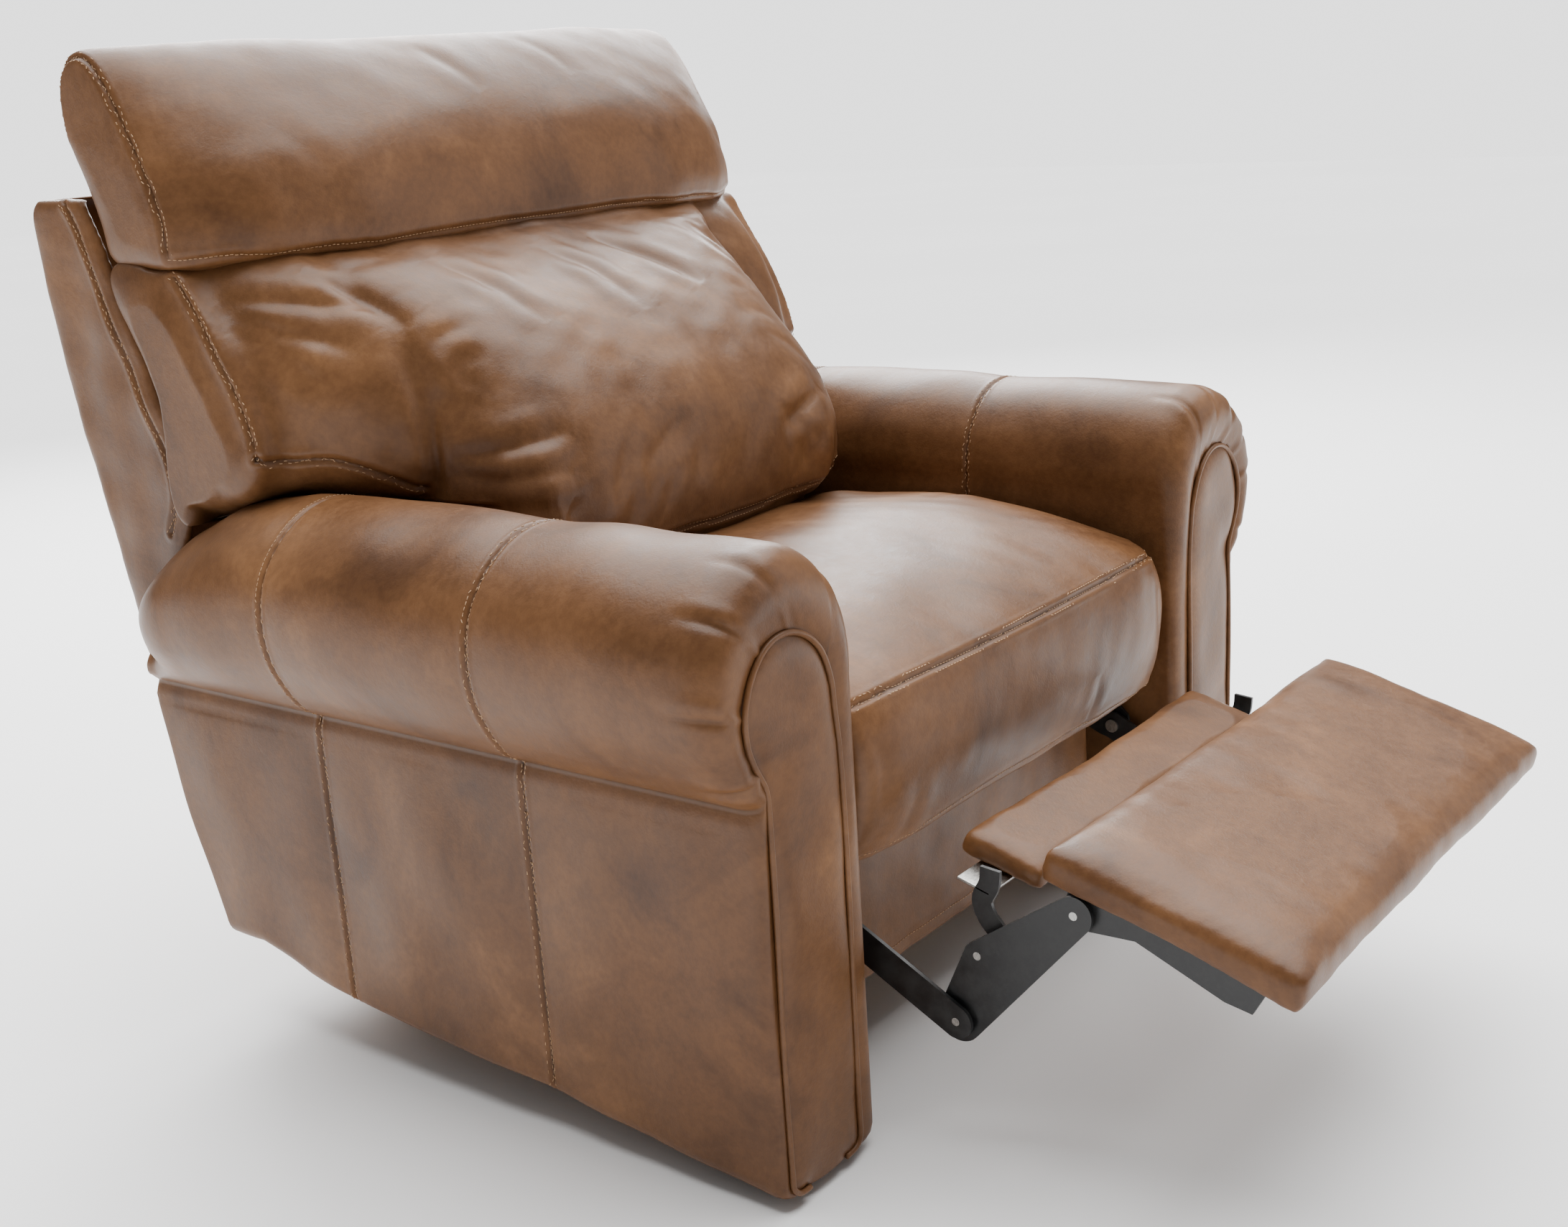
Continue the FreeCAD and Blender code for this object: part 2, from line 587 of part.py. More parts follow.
def flipper():
    slope = dim("footrest_slope")
    padded_panel("flipper", FLIPPER_CORNER, "flipper_width", "flipper_length",
                 "flipper_board_thickness", "flipper_pad_thickness", 6.0)
    under = dim("flipper_pad_thickness") + dim("flipper_board_thickness")
    y, z = FLIPPER_PIVOT
    outline = closed_lines([(y - 11.0, z - 4.0), (y, z - 12.0), (y + 11.0, z - 4.0), (y + 18.0, z + 30.0),
                            on_slope(FLIPPER_CORNER, 22.0, under + 3.0, slope),
                            on_slope(FLIPPER_CORNER, 66.0, under + 3.0, slope), (y - 6.0, z + 30.0)])
    tab_inner, tab_along, tab_length, tab_height = 212.0, 66.0, 44.0, 3.0
    tab_width = STRAP_LAYER + PLATE - tab_inner
    tab_y, tab_z = on_slope(FLIPPER_CORNER, tab_along, under + tab_height, slope)
    for name, side in SIDES.items():
        plate = side_pad("flipper_strap_plate_" + name, outline, lower_x(side, STRAP_LAYER, PLATE),
                         "plate_thickness", (FLIPPER_PIVOT,))
        tab = doc.addObject("Part::Box", "flipper_strap_tab_" + name)
        tab.Length = tab_width
        tab.Width = tab_length
        tab.Height = tab_height
        tab.Placement = Placement(Vector(lower_x(side, tab_inner, tab_width), tab_y + FRONT, tab_z),
                                  Rotation(Vector(1, 0, 0), slope))
        strap = doc.addObject("Part::MultiFuse", "flipper_strap_" + name)
        strap.Shapes = [plate, tab]
        keep(strap, "flipper_strap_" + name)


# ---- back -----------------------------------------------------------------------------------------

BACK_TIMBER = 30.0
POST_WIDTH = 34.0
POST_LOW = 30.0
BOTTOM_RAIL_LOW = 45.0
BOTTOM_RAIL_HIGH = 105.0
WING_LOW = 300.0
TOP_RAIL_LOW = 440.0
TOP_RAIL_HIGH = 500.0
WING_OUTER = 434.0


def leaning_board(name, x_start, width, low, high):
    """A board of the back's timber thickness between two heights up the leaning back."""
    y, z = on_back(low, BACK_TIMBER / 2)
    return block(name, (f"{width}", f"{BACK_TIMBER}", f"{high - low}"), (x_start, y + FRONT, z),
                 -dim("back_lean"))


def back_frame():
    outer = SWING_LAYER
    bracket = link_bar(BACK_PIVOT, on_back(220.0, 0.0), 42.0)
    wings = []
    for name, side in SIDES.items():
        side_node("back_bracket_" + name, bracket, lower_x(side, SWING_LAYER, PLATE), "plate_thickness",
                  (BACK_PIVOT,))
        keep(leaning_board("back_post_" + name, lower_x(side, outer - POST_WIDTH, POST_WIDTH), POST_WIDTH,
                           POST_LOW, TOP_RAIL_LOW), "back_post_" + name)
        wing = WING_OUTER - outer - PLATE
        wings.append(leaning_board("back_wing_" + name, lower_x(side, outer + PLATE, wing), wing,
                                   WING_LOW, TOP_RAIL_LOW))
    group("back_wings", wings)
    keep(leaning_board("back_bottom_rail", POST_WIDTH - outer, 2 * (outer - POST_WIDTH),
                       BOTTOM_RAIL_LOW, BOTTOM_RAIL_HIGH), "back_bottom_rail")
    keep(leaning_board("back_top_rail", -WING_OUTER, 2 * WING_OUTER, TOP_RAIL_LOW, TOP_RAIL_HIGH),
         "back_top_rail")
    strap_height, strap_first, strap_pitch, strap_count = 50.0, 130.0, 85.0, 4
    thickness = dim("webbing_thickness")
    straps = []
    for number in range(strap_count):
        strap = doc.addObject("Part::Box", f"back_strap_{number}")
        strap.Length = 2 * outer
        strap.setExpression("Width", "Dimensions.webbing_thickness")
        strap.Height = strap_height
        y, z = on_back(strap_first + number * strap_pitch, BACK_TIMBER / 2 + thickness)
        strap.Placement = Placement(Vector(-outer, y + FRONT, z),
                                    Rotation(Vector(1, 0, 0), -dim("back_lean")))
        straps.append(strap)
    group("back_webbing", straps)


def outer_back():
    """The covered rear panel and the side bands that join it to the pillows."""
    half = dim("back_width") / 2
    depth = dim("outer_back_thickness")
    rear = [(893.0, 432.0), (927.0, 585.0), (959.0, 711.0), (979.0, 860.0), (983.0, 915.0)]
    front = [(y - depth, z) for y, z in rear]
    side_node("outer_back_panel", closed_lines(rear + front[::-1]), -half, "back_width")
    band = [(787.0, 622.0), (835.0, 730.0), (893.0, 876.0), (915.0, 915.0)]
    outline = closed_lines(band + front[::-1] + [(front[0][0] - 7.0, front[0][1]), (front[0][0] - 7.0, 600.0)])
    skirt = [rear[0], (rear[0][0] - 8.0, 264.0), (front[0][0] - 8.0, 264.0), front[0]]
    side_node("back_skirt", closed_lines(skirt), -dim("back_cushion_width") / 2, "back_cushion_width")
    for name, side in SIDES.items():
        side_node("back_side_band_" + name, outline, lower_x(side, half - BAND_THICKNESS, BAND_THICKNESS),
                  "band_thickness")


def back_pillows():
    """The deep lower pillow, its ears over the arms, and the head bolster above them."""
    behind = BACK_TIMBER / 2 + dim("webbing_thickness") + 1.0
    width = dim("back_cushion_width")
    seam_front, seam_rear = (640.0, 838.0), on_back(TOP_RAIL_HIGH - 6.0, behind)
    front = [(400.0, 516.0), (372.0, 560.0), (400.0, 630.0), (500.0, 745.0), seam_front]
    outline = smooth_outline(front) + lines([seam_front, seam_rear, on_back(60.0, behind), (505.0, 420.0),
                                             (505.0, 488.0), front[0]])
    pieces = [side_pad("back_cushion_middle", outline, -width / 2, "back_cushion_width")]
    ear = [(600.0, 640.0), (646.0, 690.0), (735.0, 836.0), seam_rear, on_back(288.0, behind)]
    for name, side in SIDES.items():
        pieces.append(side_pad("back_ear_" + name, closed_lines(ear),
                               lower_x(side, width / 2, dim("ear_width")), "ear_width"))
    cushion = doc.addObject("Part::MultiFuse", "Fused_back_cushion")
    cushion.Shapes = pieces
    keep(cushion, "back_cushion")
    crown = [(655.0, 850.0), (668.0, 930.0), (740.0, 1020.0), (810.0, 1070.0), (860.0, 1077.0),
             (902.0, 1045.0), (903.0, 995.0), (870.0, 925.0)]
    foot = on_back(TOP_RAIL_HIGH, -BACK_TIMBER / 2), on_back(TOP_RAIL_HIGH, BACK_TIMBER / 2)
    bolster = smooth_outline(crown) + lines([crown[-1], foot[0], foot[1], (735.0, 848.0), crown[0]])
    side_node("head_bolster", bolster, -dim("bolster_width") / 2, "bolster_width")


def check_document():
    """Stop if any object of the document failed, or a finished sub-part has no valid shape."""
    for item in doc.Objects:
        if "Invalid" in item.State or "Error" in item.State:
            raise RuntimeError(f"{item.Name} failed: {item.State}")
    for item in nodes:
        if item.Shape.isNull() or not item.Shape.isValid():
            raise RuntimeError(f"{item.Label} has no valid shape")


arms()
base_frame()
floor_glides()
base_plates()
swing_links()
seat_plates()
seat_frame()
seat_cushion()
rear_footrest_links()
wide_footrest_links()
footrest()
flipper()
back_frame()
outer_back()
back_pillows()
doc.recompute()
check_document()

os.makedirs("parts", exist_ok=True)
for node in nodes:
    node.Shape.exportStep(f"parts/{node.Label}.step")
whole = FreeCAD.BoundBox()
for node in nodes:
    whole.add(node.Shape.BoundBox)
print(len(nodes), "nodes", whole)
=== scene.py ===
"""Rolled-arm leather recliner: upholstery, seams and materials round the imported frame.

Lengths inside the shape functions are millimetres, counted rearwards (y) from the front of the arms
and upwards (z) from the floor; place() turns them into the frame's metres.
"""
import math

import bmesh
import bpy
import numpy as np
from mathutils import Matrix, Vector
from mathutils.bvhtree import BVHTree


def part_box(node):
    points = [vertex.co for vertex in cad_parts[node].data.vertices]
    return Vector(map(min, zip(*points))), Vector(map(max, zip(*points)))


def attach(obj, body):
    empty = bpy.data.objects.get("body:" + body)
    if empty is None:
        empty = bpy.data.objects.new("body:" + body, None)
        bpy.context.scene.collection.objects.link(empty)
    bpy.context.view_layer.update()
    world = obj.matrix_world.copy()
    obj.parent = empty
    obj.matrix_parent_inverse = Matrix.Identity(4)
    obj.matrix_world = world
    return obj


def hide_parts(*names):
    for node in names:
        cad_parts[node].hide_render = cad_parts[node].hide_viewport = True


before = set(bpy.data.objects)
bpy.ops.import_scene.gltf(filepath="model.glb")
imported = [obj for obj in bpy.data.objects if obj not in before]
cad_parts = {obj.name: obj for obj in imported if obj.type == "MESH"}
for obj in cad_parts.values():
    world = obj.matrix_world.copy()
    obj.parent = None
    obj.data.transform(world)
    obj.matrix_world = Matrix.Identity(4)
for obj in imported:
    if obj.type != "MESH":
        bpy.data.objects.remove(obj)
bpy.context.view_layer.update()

MM = 0.001
FRONT = float(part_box("front_facing_R")[0][1]) / MM       # the front of the arms, in the frame


def node_box(node):
    """A node's lowest and highest corners in shape millimetres."""
    low, high = (np.array([float(value) for value in corner]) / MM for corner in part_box(node))
    return low - [0.0, FRONT, 0.0], high - [0.0, FRONT, 0.0]


ARM_INNER = node_box("arm_roll_R")[0][0]
ARM_OUTER = node_box("arm_outer_panel_R")[1][0]


def place(points):
    """Shape millimetres to frame metres."""
    return (np.asarray(points, float) + [0.0, FRONT, 0.0]) * MM


def unplace(points):
    """Frame metres to shape millimetres."""
    return points / MM - [0.0, FRONT, 0.0]


# ---- meshes -----------------------------------------------------------------------------------------

def make_object(name, vertices, faces, material, body):
    mesh = bpy.data.meshes.new(name)
    mesh.from_pydata([tuple(v) for v in vertices], [], faces)
    mesh.update()
    mesh.shade_smooth()
    piece = bpy.data.objects.new(name, mesh)
    bpy.context.scene.collection.objects.link(piece)
    piece.data.materials.append(material)
    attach(piece, body)
    return piece


def grid_faces(rows, columns, close_columns=False, first=0):
    """Quads of a grid of points stored row by row."""
    last = columns if close_columns else columns - 1
    faces = []
    for row in range(rows - 1):
        for column in range(last):
            nxt = (column + 1) % columns
            a, b = first + row * columns, first + (row + 1) * columns
            faces.append((a + column, a + nxt, b + nxt, b + column))
    return faces


def coordinates(piece):
    flat = np.empty(len(piece.data.vertices) * 3)
    piece.data.vertices.foreach_get("co", flat)
    return flat.reshape(-1, 3)


def set_coordinates(piece, points):
    piece.data.vertices.foreach_set("co", np.asarray(points, float).ravel())
    piece.data.update()


def vertex_normals(piece):
    flat = np.empty(len(piece.data.vertices) * 3)
    piece.data.vertex_normals.foreach_get("vector", flat)
    return flat.reshape(-1, 3)


def push(piece, amount):
    """Move every vertex along its normal by an amount in metres."""
    set_coordinates(piece, coordinates(piece) + vertex_normals(piece) * np.asarray(amount)[:, None])


def apply_modifier(piece, kind, **settings):
    """Add a modifier, bake its result into the mesh and remove it."""
    modifier = piece.modifiers.new(kind, kind)
    for key, value in settings.items():
        setattr(modifier, key, value)
    bpy.context.view_layer.update()
    evaluated = piece.evaluated_get(bpy.context.evaluated_depsgraph_get())
    mesh = bpy.data.meshes.new_from_object(evaluated)
    piece.modifiers.remove(modifier)
    old, name = piece.data, piece.data.name
    piece.data = mesh
    bpy.data.meshes.remove(old)
    mesh.name = name
    mesh.shade_smooth()


def clean(piece, distance=0.0002):
    """Weld doubled points and make the normals face outwards."""
    work = bmesh.new()
    work.from_mesh(piece.data)
    bmesh.ops.remove_doubles(work, verts=work.verts, dist=distance)
    bmesh.ops.recalc_face_normals(work, faces=work.faces)
    work.to_mesh(piece.data)
    work.free()
    piece.data.update()


def ripple(points, wavelength, seed, count=14):
    """Smooth unevenness of about plus and minus one, from seeded plane waves. Metres."""
    rng = np.random.default_rng(seed)
    directions = rng.normal(size=(count, 3))
    directions /= np.linalg.norm(directions, axis=1)[:, None]
    rates = 2.0 * math.pi / wavelength * rng.uniform(0.6, 1.5, count)
    phases = rng.uniform(0.0, 2.0 * math.pi, count)
    return np.sin(points @ (directions * rates[:, None]).T + phases).sum(axis=1) / math.sqrt(count / 2.0)


def resample(points, step, closed=False):
    """Points at an even spacing along a polyline."""
    points = np.asarray(points, float)
    if closed:
        points = np.vstack([points, points[:1]])
    lengths = np.concatenate([[0.0], np.cumsum(np.linalg.norm(np.diff(points, axis=0), axis=1))])
    count = max(2, int(round(lengths[-1] / step)) + 1)
    marks = np.linspace(0.0, lengths[-1], count)
    return np.stack([np.interp(marks, lengths, points[:, axis]) for axis in range(3)], axis=1)


def catmull_rom(a, b, c, d, t):
    return 0.5 * (2 * b + (c - a) * t + (2 * a - 5 * b + 4 * c - d) * t ** 2
                  + (3 * b - a - 3 * c + d) * t ** 3)


def smooth_path(points, step):
    """A Catmull-Rom curve through a few points, sampled evenly."""
    points = np.asarray(points, float)
    ends = np.vstack([2 * points[0] - points[1], points, 2 * points[-1] - points[-2]])
    samples = []
    for a, b, c, d in zip(ends, ends[1:], ends[2:], ends[3:]):
        for t in np.linspace(0.0, 1.0, 24, endpoint=False):
            samples.append(catmull_rom(a, b, c, d, t))
    samples.append(points[-1])
    return resample(samples, step)


class Surface:
    """A mesh that paths are laid on."""

    def __init__(self, piece):
        mesh = piece.data
        self.tree = BVHTree.FromPolygons([v.co for v in mesh.vertices], [p.vertices for p in mesh.polygons])

    def lay(self, path, lift=0.0):
        """The nearest points of the surface, raised by a lift, and the normals there."""
        places, normals = [], []
        for point in path:
            found, normal, _, _ = self.tree.find_nearest(Vector(point))
            places.append(found + normal * lift)
            normals.append(normal)
        return np.array(places), np.array(normals)


def distance_to(points, path):
    """For each point, its distance to the nearest sample of a path, and that sample's share of the way."""
    best = np.full(len(points), np.inf)
    where = np.zeros(len(points))
    box_low, box_high = path.min(axis=0) - 0.05, path.max(axis=0) + 0.05
    near = np.nonzero(((points > box_low) & (points < box_high)).all(axis=1))[0]
    for start in range(0, len(near), 4000):
        chunk = near[start:start + 4000]
        gaps = np.linalg.norm(points[chunk][:, None] - path[None], axis=2)
        index = gaps.argmin(axis=1)
        best[chunk] = gaps[np.arange(len(chunk)), index]
        where[chunk] = index / max(1, len(path) - 1)
    return best, where


def press(piece, path, depth, width, lip=0.0, fade=False):
    """A sewn groove (or a crease that fades at its ends) along a path. Metres."""
    gap, share = distance_to(coordinates(piece), path)
    amount = -depth * np.exp(-(gap / width) ** 2)
    if lip:
        amount += lip * np.exp(-((gap - 2.6 * width) / (1.3 * width)) ** 2)
    if fade:
        amount *= np.sin(np.clip(share, 0.0, 1.0) * math.pi) ** 0.7
    amount[~np.isfinite(gap)] = 0.0
    push(piece, amount)


def tube(points, radius, sides=10):
    """Vertices and faces of a round tube along a polyline, with closed ends."""
    points = np.asarray(points, float)
    tangents = np.gradient(points, axis=0)
    tangents /= np.linalg.norm(tangents, axis=1)[:, None]
    helper = np.array([0.0, 0.0, 1.0]) if abs(tangents[0][2]) < 0.8 else np.array([1.0, 0.0, 0.0])
    vertices, rings = [], len(points)
    side = np.cross(tangents[0], helper)
    for point, tangent in zip(points, tangents):
        side = side - tangent * side.dot(tangent)
        side /= np.linalg.norm(side)
        up = np.cross(tangent, side)
        for number in range(sides):
            angle = 2.0 * math.pi * number / sides
            vertices.append(point + (side * math.cos(angle) + up * math.sin(angle)) * radius)
    faces = grid_faces(rings, sides, close_columns=True)
    faces.append(tuple(range(sides))[::-1])
    faces.append(tuple((rings - 1) * sides + n for n in range(sides)))
    return vertices, faces


def welt(name, points, radius, body):
    """Leather piping."""
    vertices, faces = tube(points, radius)
    clean(make_object(name, vertices, faces, MATERIALS["leather"], body), 0.00001)


STITCH_PITCH = 0.0052
STITCH_LENGTH = 0.0036
STITCH_RADIUS = 0.0005
TWIN, WIDE_TWIN = (-0.0042, 0.0042), (-0.005, 0.005)      # rows on both sides of a seam


def stitches(name, rows, body):
    """Short thread stitches laid along rows of (points, normals)."""
    rings = [(-0.5, 0.35), (-0.36, 1.0), (0.36, 1.0), (0.5, 0.35)]
    sides = 6
    vertices, faces = [], []
    for points, normals in rows:
        tangents = np.gradient(points, axis=0)
        for point, normal, tangent in zip(points, normals, tangents):
            along = tangent / max(np.linalg.norm(tangent), 1e-9)
            across = np.cross(normal, along)
            across /= max(np.linalg.norm(across), 1e-9)
            first = len(vertices)
            for offset, size in rings:
                middle = point + along * offset * STITCH_LENGTH
                for number in range(sides):
                    angle = 2.0 * math.pi * number / sides
                    spoke = across * math.cos(angle) + normal * math.sin(angle) * 0.8
                    vertices.append(middle + spoke * STITCH_RADIUS * size)
            faces += grid_faces(len(rings), sides, close_columns=True, first=first)
            faces.append(tuple(first + n for n in range(sides))[::-1])
            faces.append(tuple(first + (len(rings) - 1) * sides + n for n in range(sides)))
    return make_object(name, vertices, faces, MATERIALS["thread"], body)


def beside(points, normals, shift):
    """A row moved sideways on the surface by a shift in metres."""
    tangents = np.gradient(points, axis=0)
    across = np.cross(normals, tangents)
    across /= np.linalg.norm(across, axis=1)[:, None]
    return points + across * shift


def sewn_seam(name, piece, path, body, offsets, depth=0.0022, width=0.0022, lip=0.0009):
    """Press a seam into a piece and lay rows of stitches at the given sideways offsets."""
    laid, _ = Surface(piece).lay(resample(path, 0.003))
    press(piece, laid, depth, width, lip)
    surface = Surface(piece)
    rows = []
    for offset in offsets:
        line, normals = surface.lay(resample(path, STITCH_PITCH))
        rows.append(surface.lay(beside(line, normals, offset), lift=0.0002))
    return stitches(name, rows, body)


# ---- materials --------------------------------------------------------------------------------------

def new_material(name, color):
    material = bpy.data.materials.new(name)
    material.use_nodes = True
    material.diffuse_color = (*color, 1.0)
    tree = material.node_tree
    tree.nodes.clear()
    output = tree.nodes.new("ShaderNodeOutputMaterial")
    shader = tree.nodes.new("ShaderNodeBsdfPrincipled")
    tree.links.new(shader.outputs["BSDF"], output.inputs["Surface"])
    return material, tree, shader


def texture(tree, kind, scale, detail=4.0, roughness=0.55, stretch=(1.0, 1.0, 1.0), distortion=0.0):
    """A procedural texture in the object's own space. Returns its node."""
    where = tree.nodes.new("ShaderNodeTexCoord")
    mapping = tree.nodes.new("ShaderNodeMapping")
    mapping.inputs["Scale"].default_value = stretch
    tree.links.new(where.outputs["Object"], mapping.inputs["Vector"])
    node = tree.nodes.new(kind)
    tree.links.new(mapping.outputs["Vector"], node.inputs["Vector"])
    node.inputs["Scale"].default_value = scale
    if kind == "ShaderNodeTexNoise":
        node.inputs["Detail"].default_value = detail
        node.inputs["Roughness"].default_value = roughness
        node.inputs["Distortion"].default_value = distortion
    return node


def grey(value):
    return (value, value, value)


def connect(tree, shader, color, normal, roughness):
    """Wire up a shader's colour, normal and roughness. roughness is a number or a socket."""
    tree.links.new(color, shader.inputs["Base Color"])
    tree.links.new(normal, shader.inputs["Normal"])
    if isinstance(roughness, float):
        shader.inputs["Roughness"].default_value = roughness
    else:
        tree.links.new(roughness, shader.inputs["Roughness"])


def ramp(tree, source, stops):
    """A colour ramp over a value. stops are (position, colour)."""
    node = tree.nodes.new("ShaderNodeValToRGB")
    node.color_ramp.interpolation = "EASE"
    elements = node.color_ramp.elements
    while len(elements) < len(stops):
        elements.new(0.5)
    for element, (position, color) in zip(elements, stops):
        element.position = position
        element.color = (*color, 1.0)
    tree.links.new(source, node.inputs["Fac"])
    return node.outputs["Color"]


def mix(tree, blend, amount, first, second):
    """Mix two colours. amount is a number or a socket."""
    node = tree.nodes.new("ShaderNodeMix")
    node.data_type = "RGBA"
    node.blend_type = blend
    if isinstance(amount, (int, float)):
        node.inputs["Factor"].default_value = amount
    else:
        tree.links.new(amount, node.inputs["Factor"])
    tree.links.new(first, node.inputs["A"])
    if isinstance(second, tuple):
        node.inputs["B"].default_value = (*second, 1.0)
    else:
        tree.links.new(second, node.inputs["B"])
    return node.outputs["Result"]


def spread(tree, source, low, high, to_low, to_high):
    """Map a value from one range to another."""
    node = tree.nodes.new("ShaderNodeMapRange")
    tree.links.new(source, node.inputs["Value"])
    for key, value in (("From Min", low), ("From Max", high), ("To Min", to_low), ("To Max", to_high)):
        node.inputs[key].default_value = value
    return node.outputs["Result"]


def bump(tree, height, distance, strength, normal=None):
    node = tree.nodes.new("ShaderNodeBump")
    node.inputs["Distance"].default_value = distance
    node.inputs["Strength"].default_value = strength
    tree.links.new(height, node.inputs["Height"])
    if normal is not None:
        tree.links.new(normal, node.inputs["Normal"])
    return node.outputs["Normal"]


def leather(name, light, middle, dark, seed):
    """Antiqued leather: mottled dye, darker patches, lighter rubbed ridges, painted shade in hollows, fine
    grain and soft gloss.
    """
    material, tree, shader = new_material(name, middle)
    offset = (1.0, 1.0, 1.0 + 0.03 * seed)
    clouds = texture(tree, "ShaderNodeTexNoise", 5.5, 5.0, 0.6, offset, 0.5)
    color = ramp(tree, clouds.outputs["Fac"], [(0.28, dark), (0.5, middle), (0.72, light)])
    blotches = texture(tree, "ShaderNodeTexNoise", 17.0, 6.0, 0.65, offset, 0.8)
    color = mix(tree, "SOFT_LIGHT", 0.45, color,
                ramp(tree, blotches.outputs["Fac"], [(0.3, (0.36, 0.35, 0.34)), (0.7, (0.62, 0.61, 0.6))]))
    specks = texture(tree, "ShaderNodeTexNoise", 130.0, 3.0, 0.6)
    color = mix(tree, "SOFT_LIGHT", 0.3, color,
                ramp(tree, specks.outputs["Fac"], [(0.35, (0.35, 0.34, 0.33)), (0.65, grey(0.62))]))
    geometry = tree.nodes.new("ShaderNodeNewGeometry")
    ridges = spread(tree, geometry.outputs["Pointiness"], 0.52, 0.6, 0.0, 0.22)
    color = mix(tree, "MIX", ridges, color, tuple(min(1.0, value * 1.3) for value in light))
    # painted shade: concave spots (low pointiness) in creases and seam grooves are darkened toward a deep
    # brown
    painted_hollow_shade = spread(tree, geometry.outputs["Pointiness"], 0.49, 0.43, 0.0, 0.8)
    color = mix(tree, "MIX", painted_hollow_shade, color, tuple(value * 0.4 for value in dark))
    rough = mix(tree, "MIX", 0.4, blotches.outputs["Fac"], specks.outputs["Fac"])
    grain = texture(tree, "ShaderNodeTexVoronoi", 520.0)
    grain.feature = "SMOOTH_F1"
    pores = texture(tree, "ShaderNodeTexNoise", 900.0, 2.0, 0.5)
    folds = texture(tree, "ShaderNodeTexNoise", 70.0, 5.0, 0.6, offset, 0.6)
    normal = bump(tree, folds.outputs["Fac"], 0.0011, 0.32)
    normal = bump(tree, grain.outputs["Distance"], 0.0004, 0.24, normal)
    normal = bump(tree, pores.outputs["Fac"], 0.0002, 0.2, normal)
    connect(tree, shader, color, normal, spread(tree, rough, 0.3, 0.7, 0.34, 0.48))
    shader.inputs["Specular IOR Level"].default_value = 0.26
    shader.inputs["Coat Weight"].default_value = 0.05
    shader.inputs["Coat Roughness"].default_value = 0.3
    return material


def thread():
    material, tree, shader = new_material("thread", (0.5, 0.3, 0.16))
    twist = texture(tree, "ShaderNodeTexNoise", 700.0, 3.0).outputs["Fac"]
    color = ramp(tree, twist, [(0.3, (0.34, 0.19, 0.095)), (0.7, (0.58, 0.37, 0.21))])
    connect(tree, shader, color, bump(tree, twist, 0.0002, 0.5), 0.7)
    return material


def painted_steel():
    """Satin black paint with small scuffs that show grey."""
    material, tree, shader = new_material("painted_steel", (0.02, 0.02, 0.021))
    scuffs = texture(tree, "ShaderNodeTexNoise", 60.0, 6.0, 0.7).outputs["Fac"]
    color = ramp(tree, scuffs, [(0.35, (0.006, 0.006, 0.0065)), (0.7, grey(0.018))])
    rubbed = texture(tree, "ShaderNodeTexNoise", 34.0, 7.0, 0.75)
    worn = spread(tree, rubbed.outputs["Fac"], 0.66, 0.74, 0.0, 0.5)
    color = mix(tree, "MIX", worn, color, (0.07, 0.068, 0.065))
    peel = texture(tree, "ShaderNodeTexNoise", 420.0, 3.0)
    connect(tree, shader, color, bump(tree, peel.outputs["Fac"], 0.0002, 0.3),
            spread(tree, scuffs, 0.3, 0.7, 0.28, 0.46))
    return material


def zinc():
    material, tree, shader = new_material("zinc", (0.5, 0.5, 0.48))
    brushed = texture(tree, "ShaderNodeTexNoise", 240.0, 5.0, 0.6, (1.0, 6.0, 1.0)).outputs["Fac"]
    color = ramp(tree, brushed, [(0.3, (0.3, 0.3, 0.29)), (0.7, (0.58, 0.57, 0.54))])
    connect(tree, shader, color, bump(tree, brushed, 0.0001, 0.4),
            spread(tree, brushed, 0.3, 0.7, 0.26, 0.45))
    shader.inputs["Metallic"].default_value = 1.0
    return material


def wood():
    material, tree, shader = new_material("wood", (0.5, 0.34, 0.19))
    rings = texture(tree, "ShaderNodeTexNoise", 9.0, 6.0, 0.6, (1.0, 0.18, 2.2), 1.2)
    color = ramp(tree, rings.outputs["Fac"], [(0.3, (0.36, 0.22, 0.11)), (0.5, (0.54, 0.37, 0.21)),
                                              (0.7, (0.63, 0.46, 0.28))])
    fibres = texture(tree, "ShaderNodeTexNoise", 160.0, 4.0, 0.7, (1.0, 0.06, 1.0)).outputs["Fac"]
    color = mix(tree, "SOFT_LIGHT", 0.5, color, ramp(tree, fibres, [(0.3, grey(0.3)), (0.7, grey(0.65))]))
    connect(tree, shader, color, bump(tree, fibres, 0.0004, 0.4), 0.68)
    return material


def woven(name, dark, light):
    """Elastic webbing: a fine over-and-under weave."""
    material, tree, shader = new_material(name, light)
    bands = []
    for direction in "XY":
        wave = texture(tree, "ShaderNodeTexWave", 110.0)
        wave.bands_direction = direction
        bands.append(wave.outputs["Color"])
    cross = mix(tree, "MULTIPLY", 1.0, *bands)
    color = ramp(tree, cross, [(0.1, dark), (0.8, light)])
    connect(tree, shader, color, bump(tree, cross, 0.0006, 0.6), 0.85)
    return material


def moulded_plastic():
    material, tree, shader = new_material("moulded_plastic", grey(0.03))
    speckle = texture(tree, "ShaderNodeTexNoise", 500.0, 3.0).outputs["Fac"]
    color = ramp(tree, speckle, [(0.3, grey(0.018)), (0.7, grey(0.04))])
    connect(tree, shader, color, bump(tree, speckle, 0.0002, 0.4), 0.5)
    return material


LIGHT, MIDDLE, DARK = (0.205, 0.095, 0.038), (0.138, 0.0605, 0.0225), (0.082, 0.0335, 0.0118)
MATERIALS = {
    "leather": leather("leather", LIGHT, MIDDLE, DARK, 0),
    "thread": thread(),
    "black_steel": painted_steel(),
    "zinc": zinc(),
    "wood": wood(),
    "webbing": woven("webbing", (0.02, 0.018, 0.016), (0.13, 0.12, 0.11)),
    "plastic": moulded_plastic(),
}

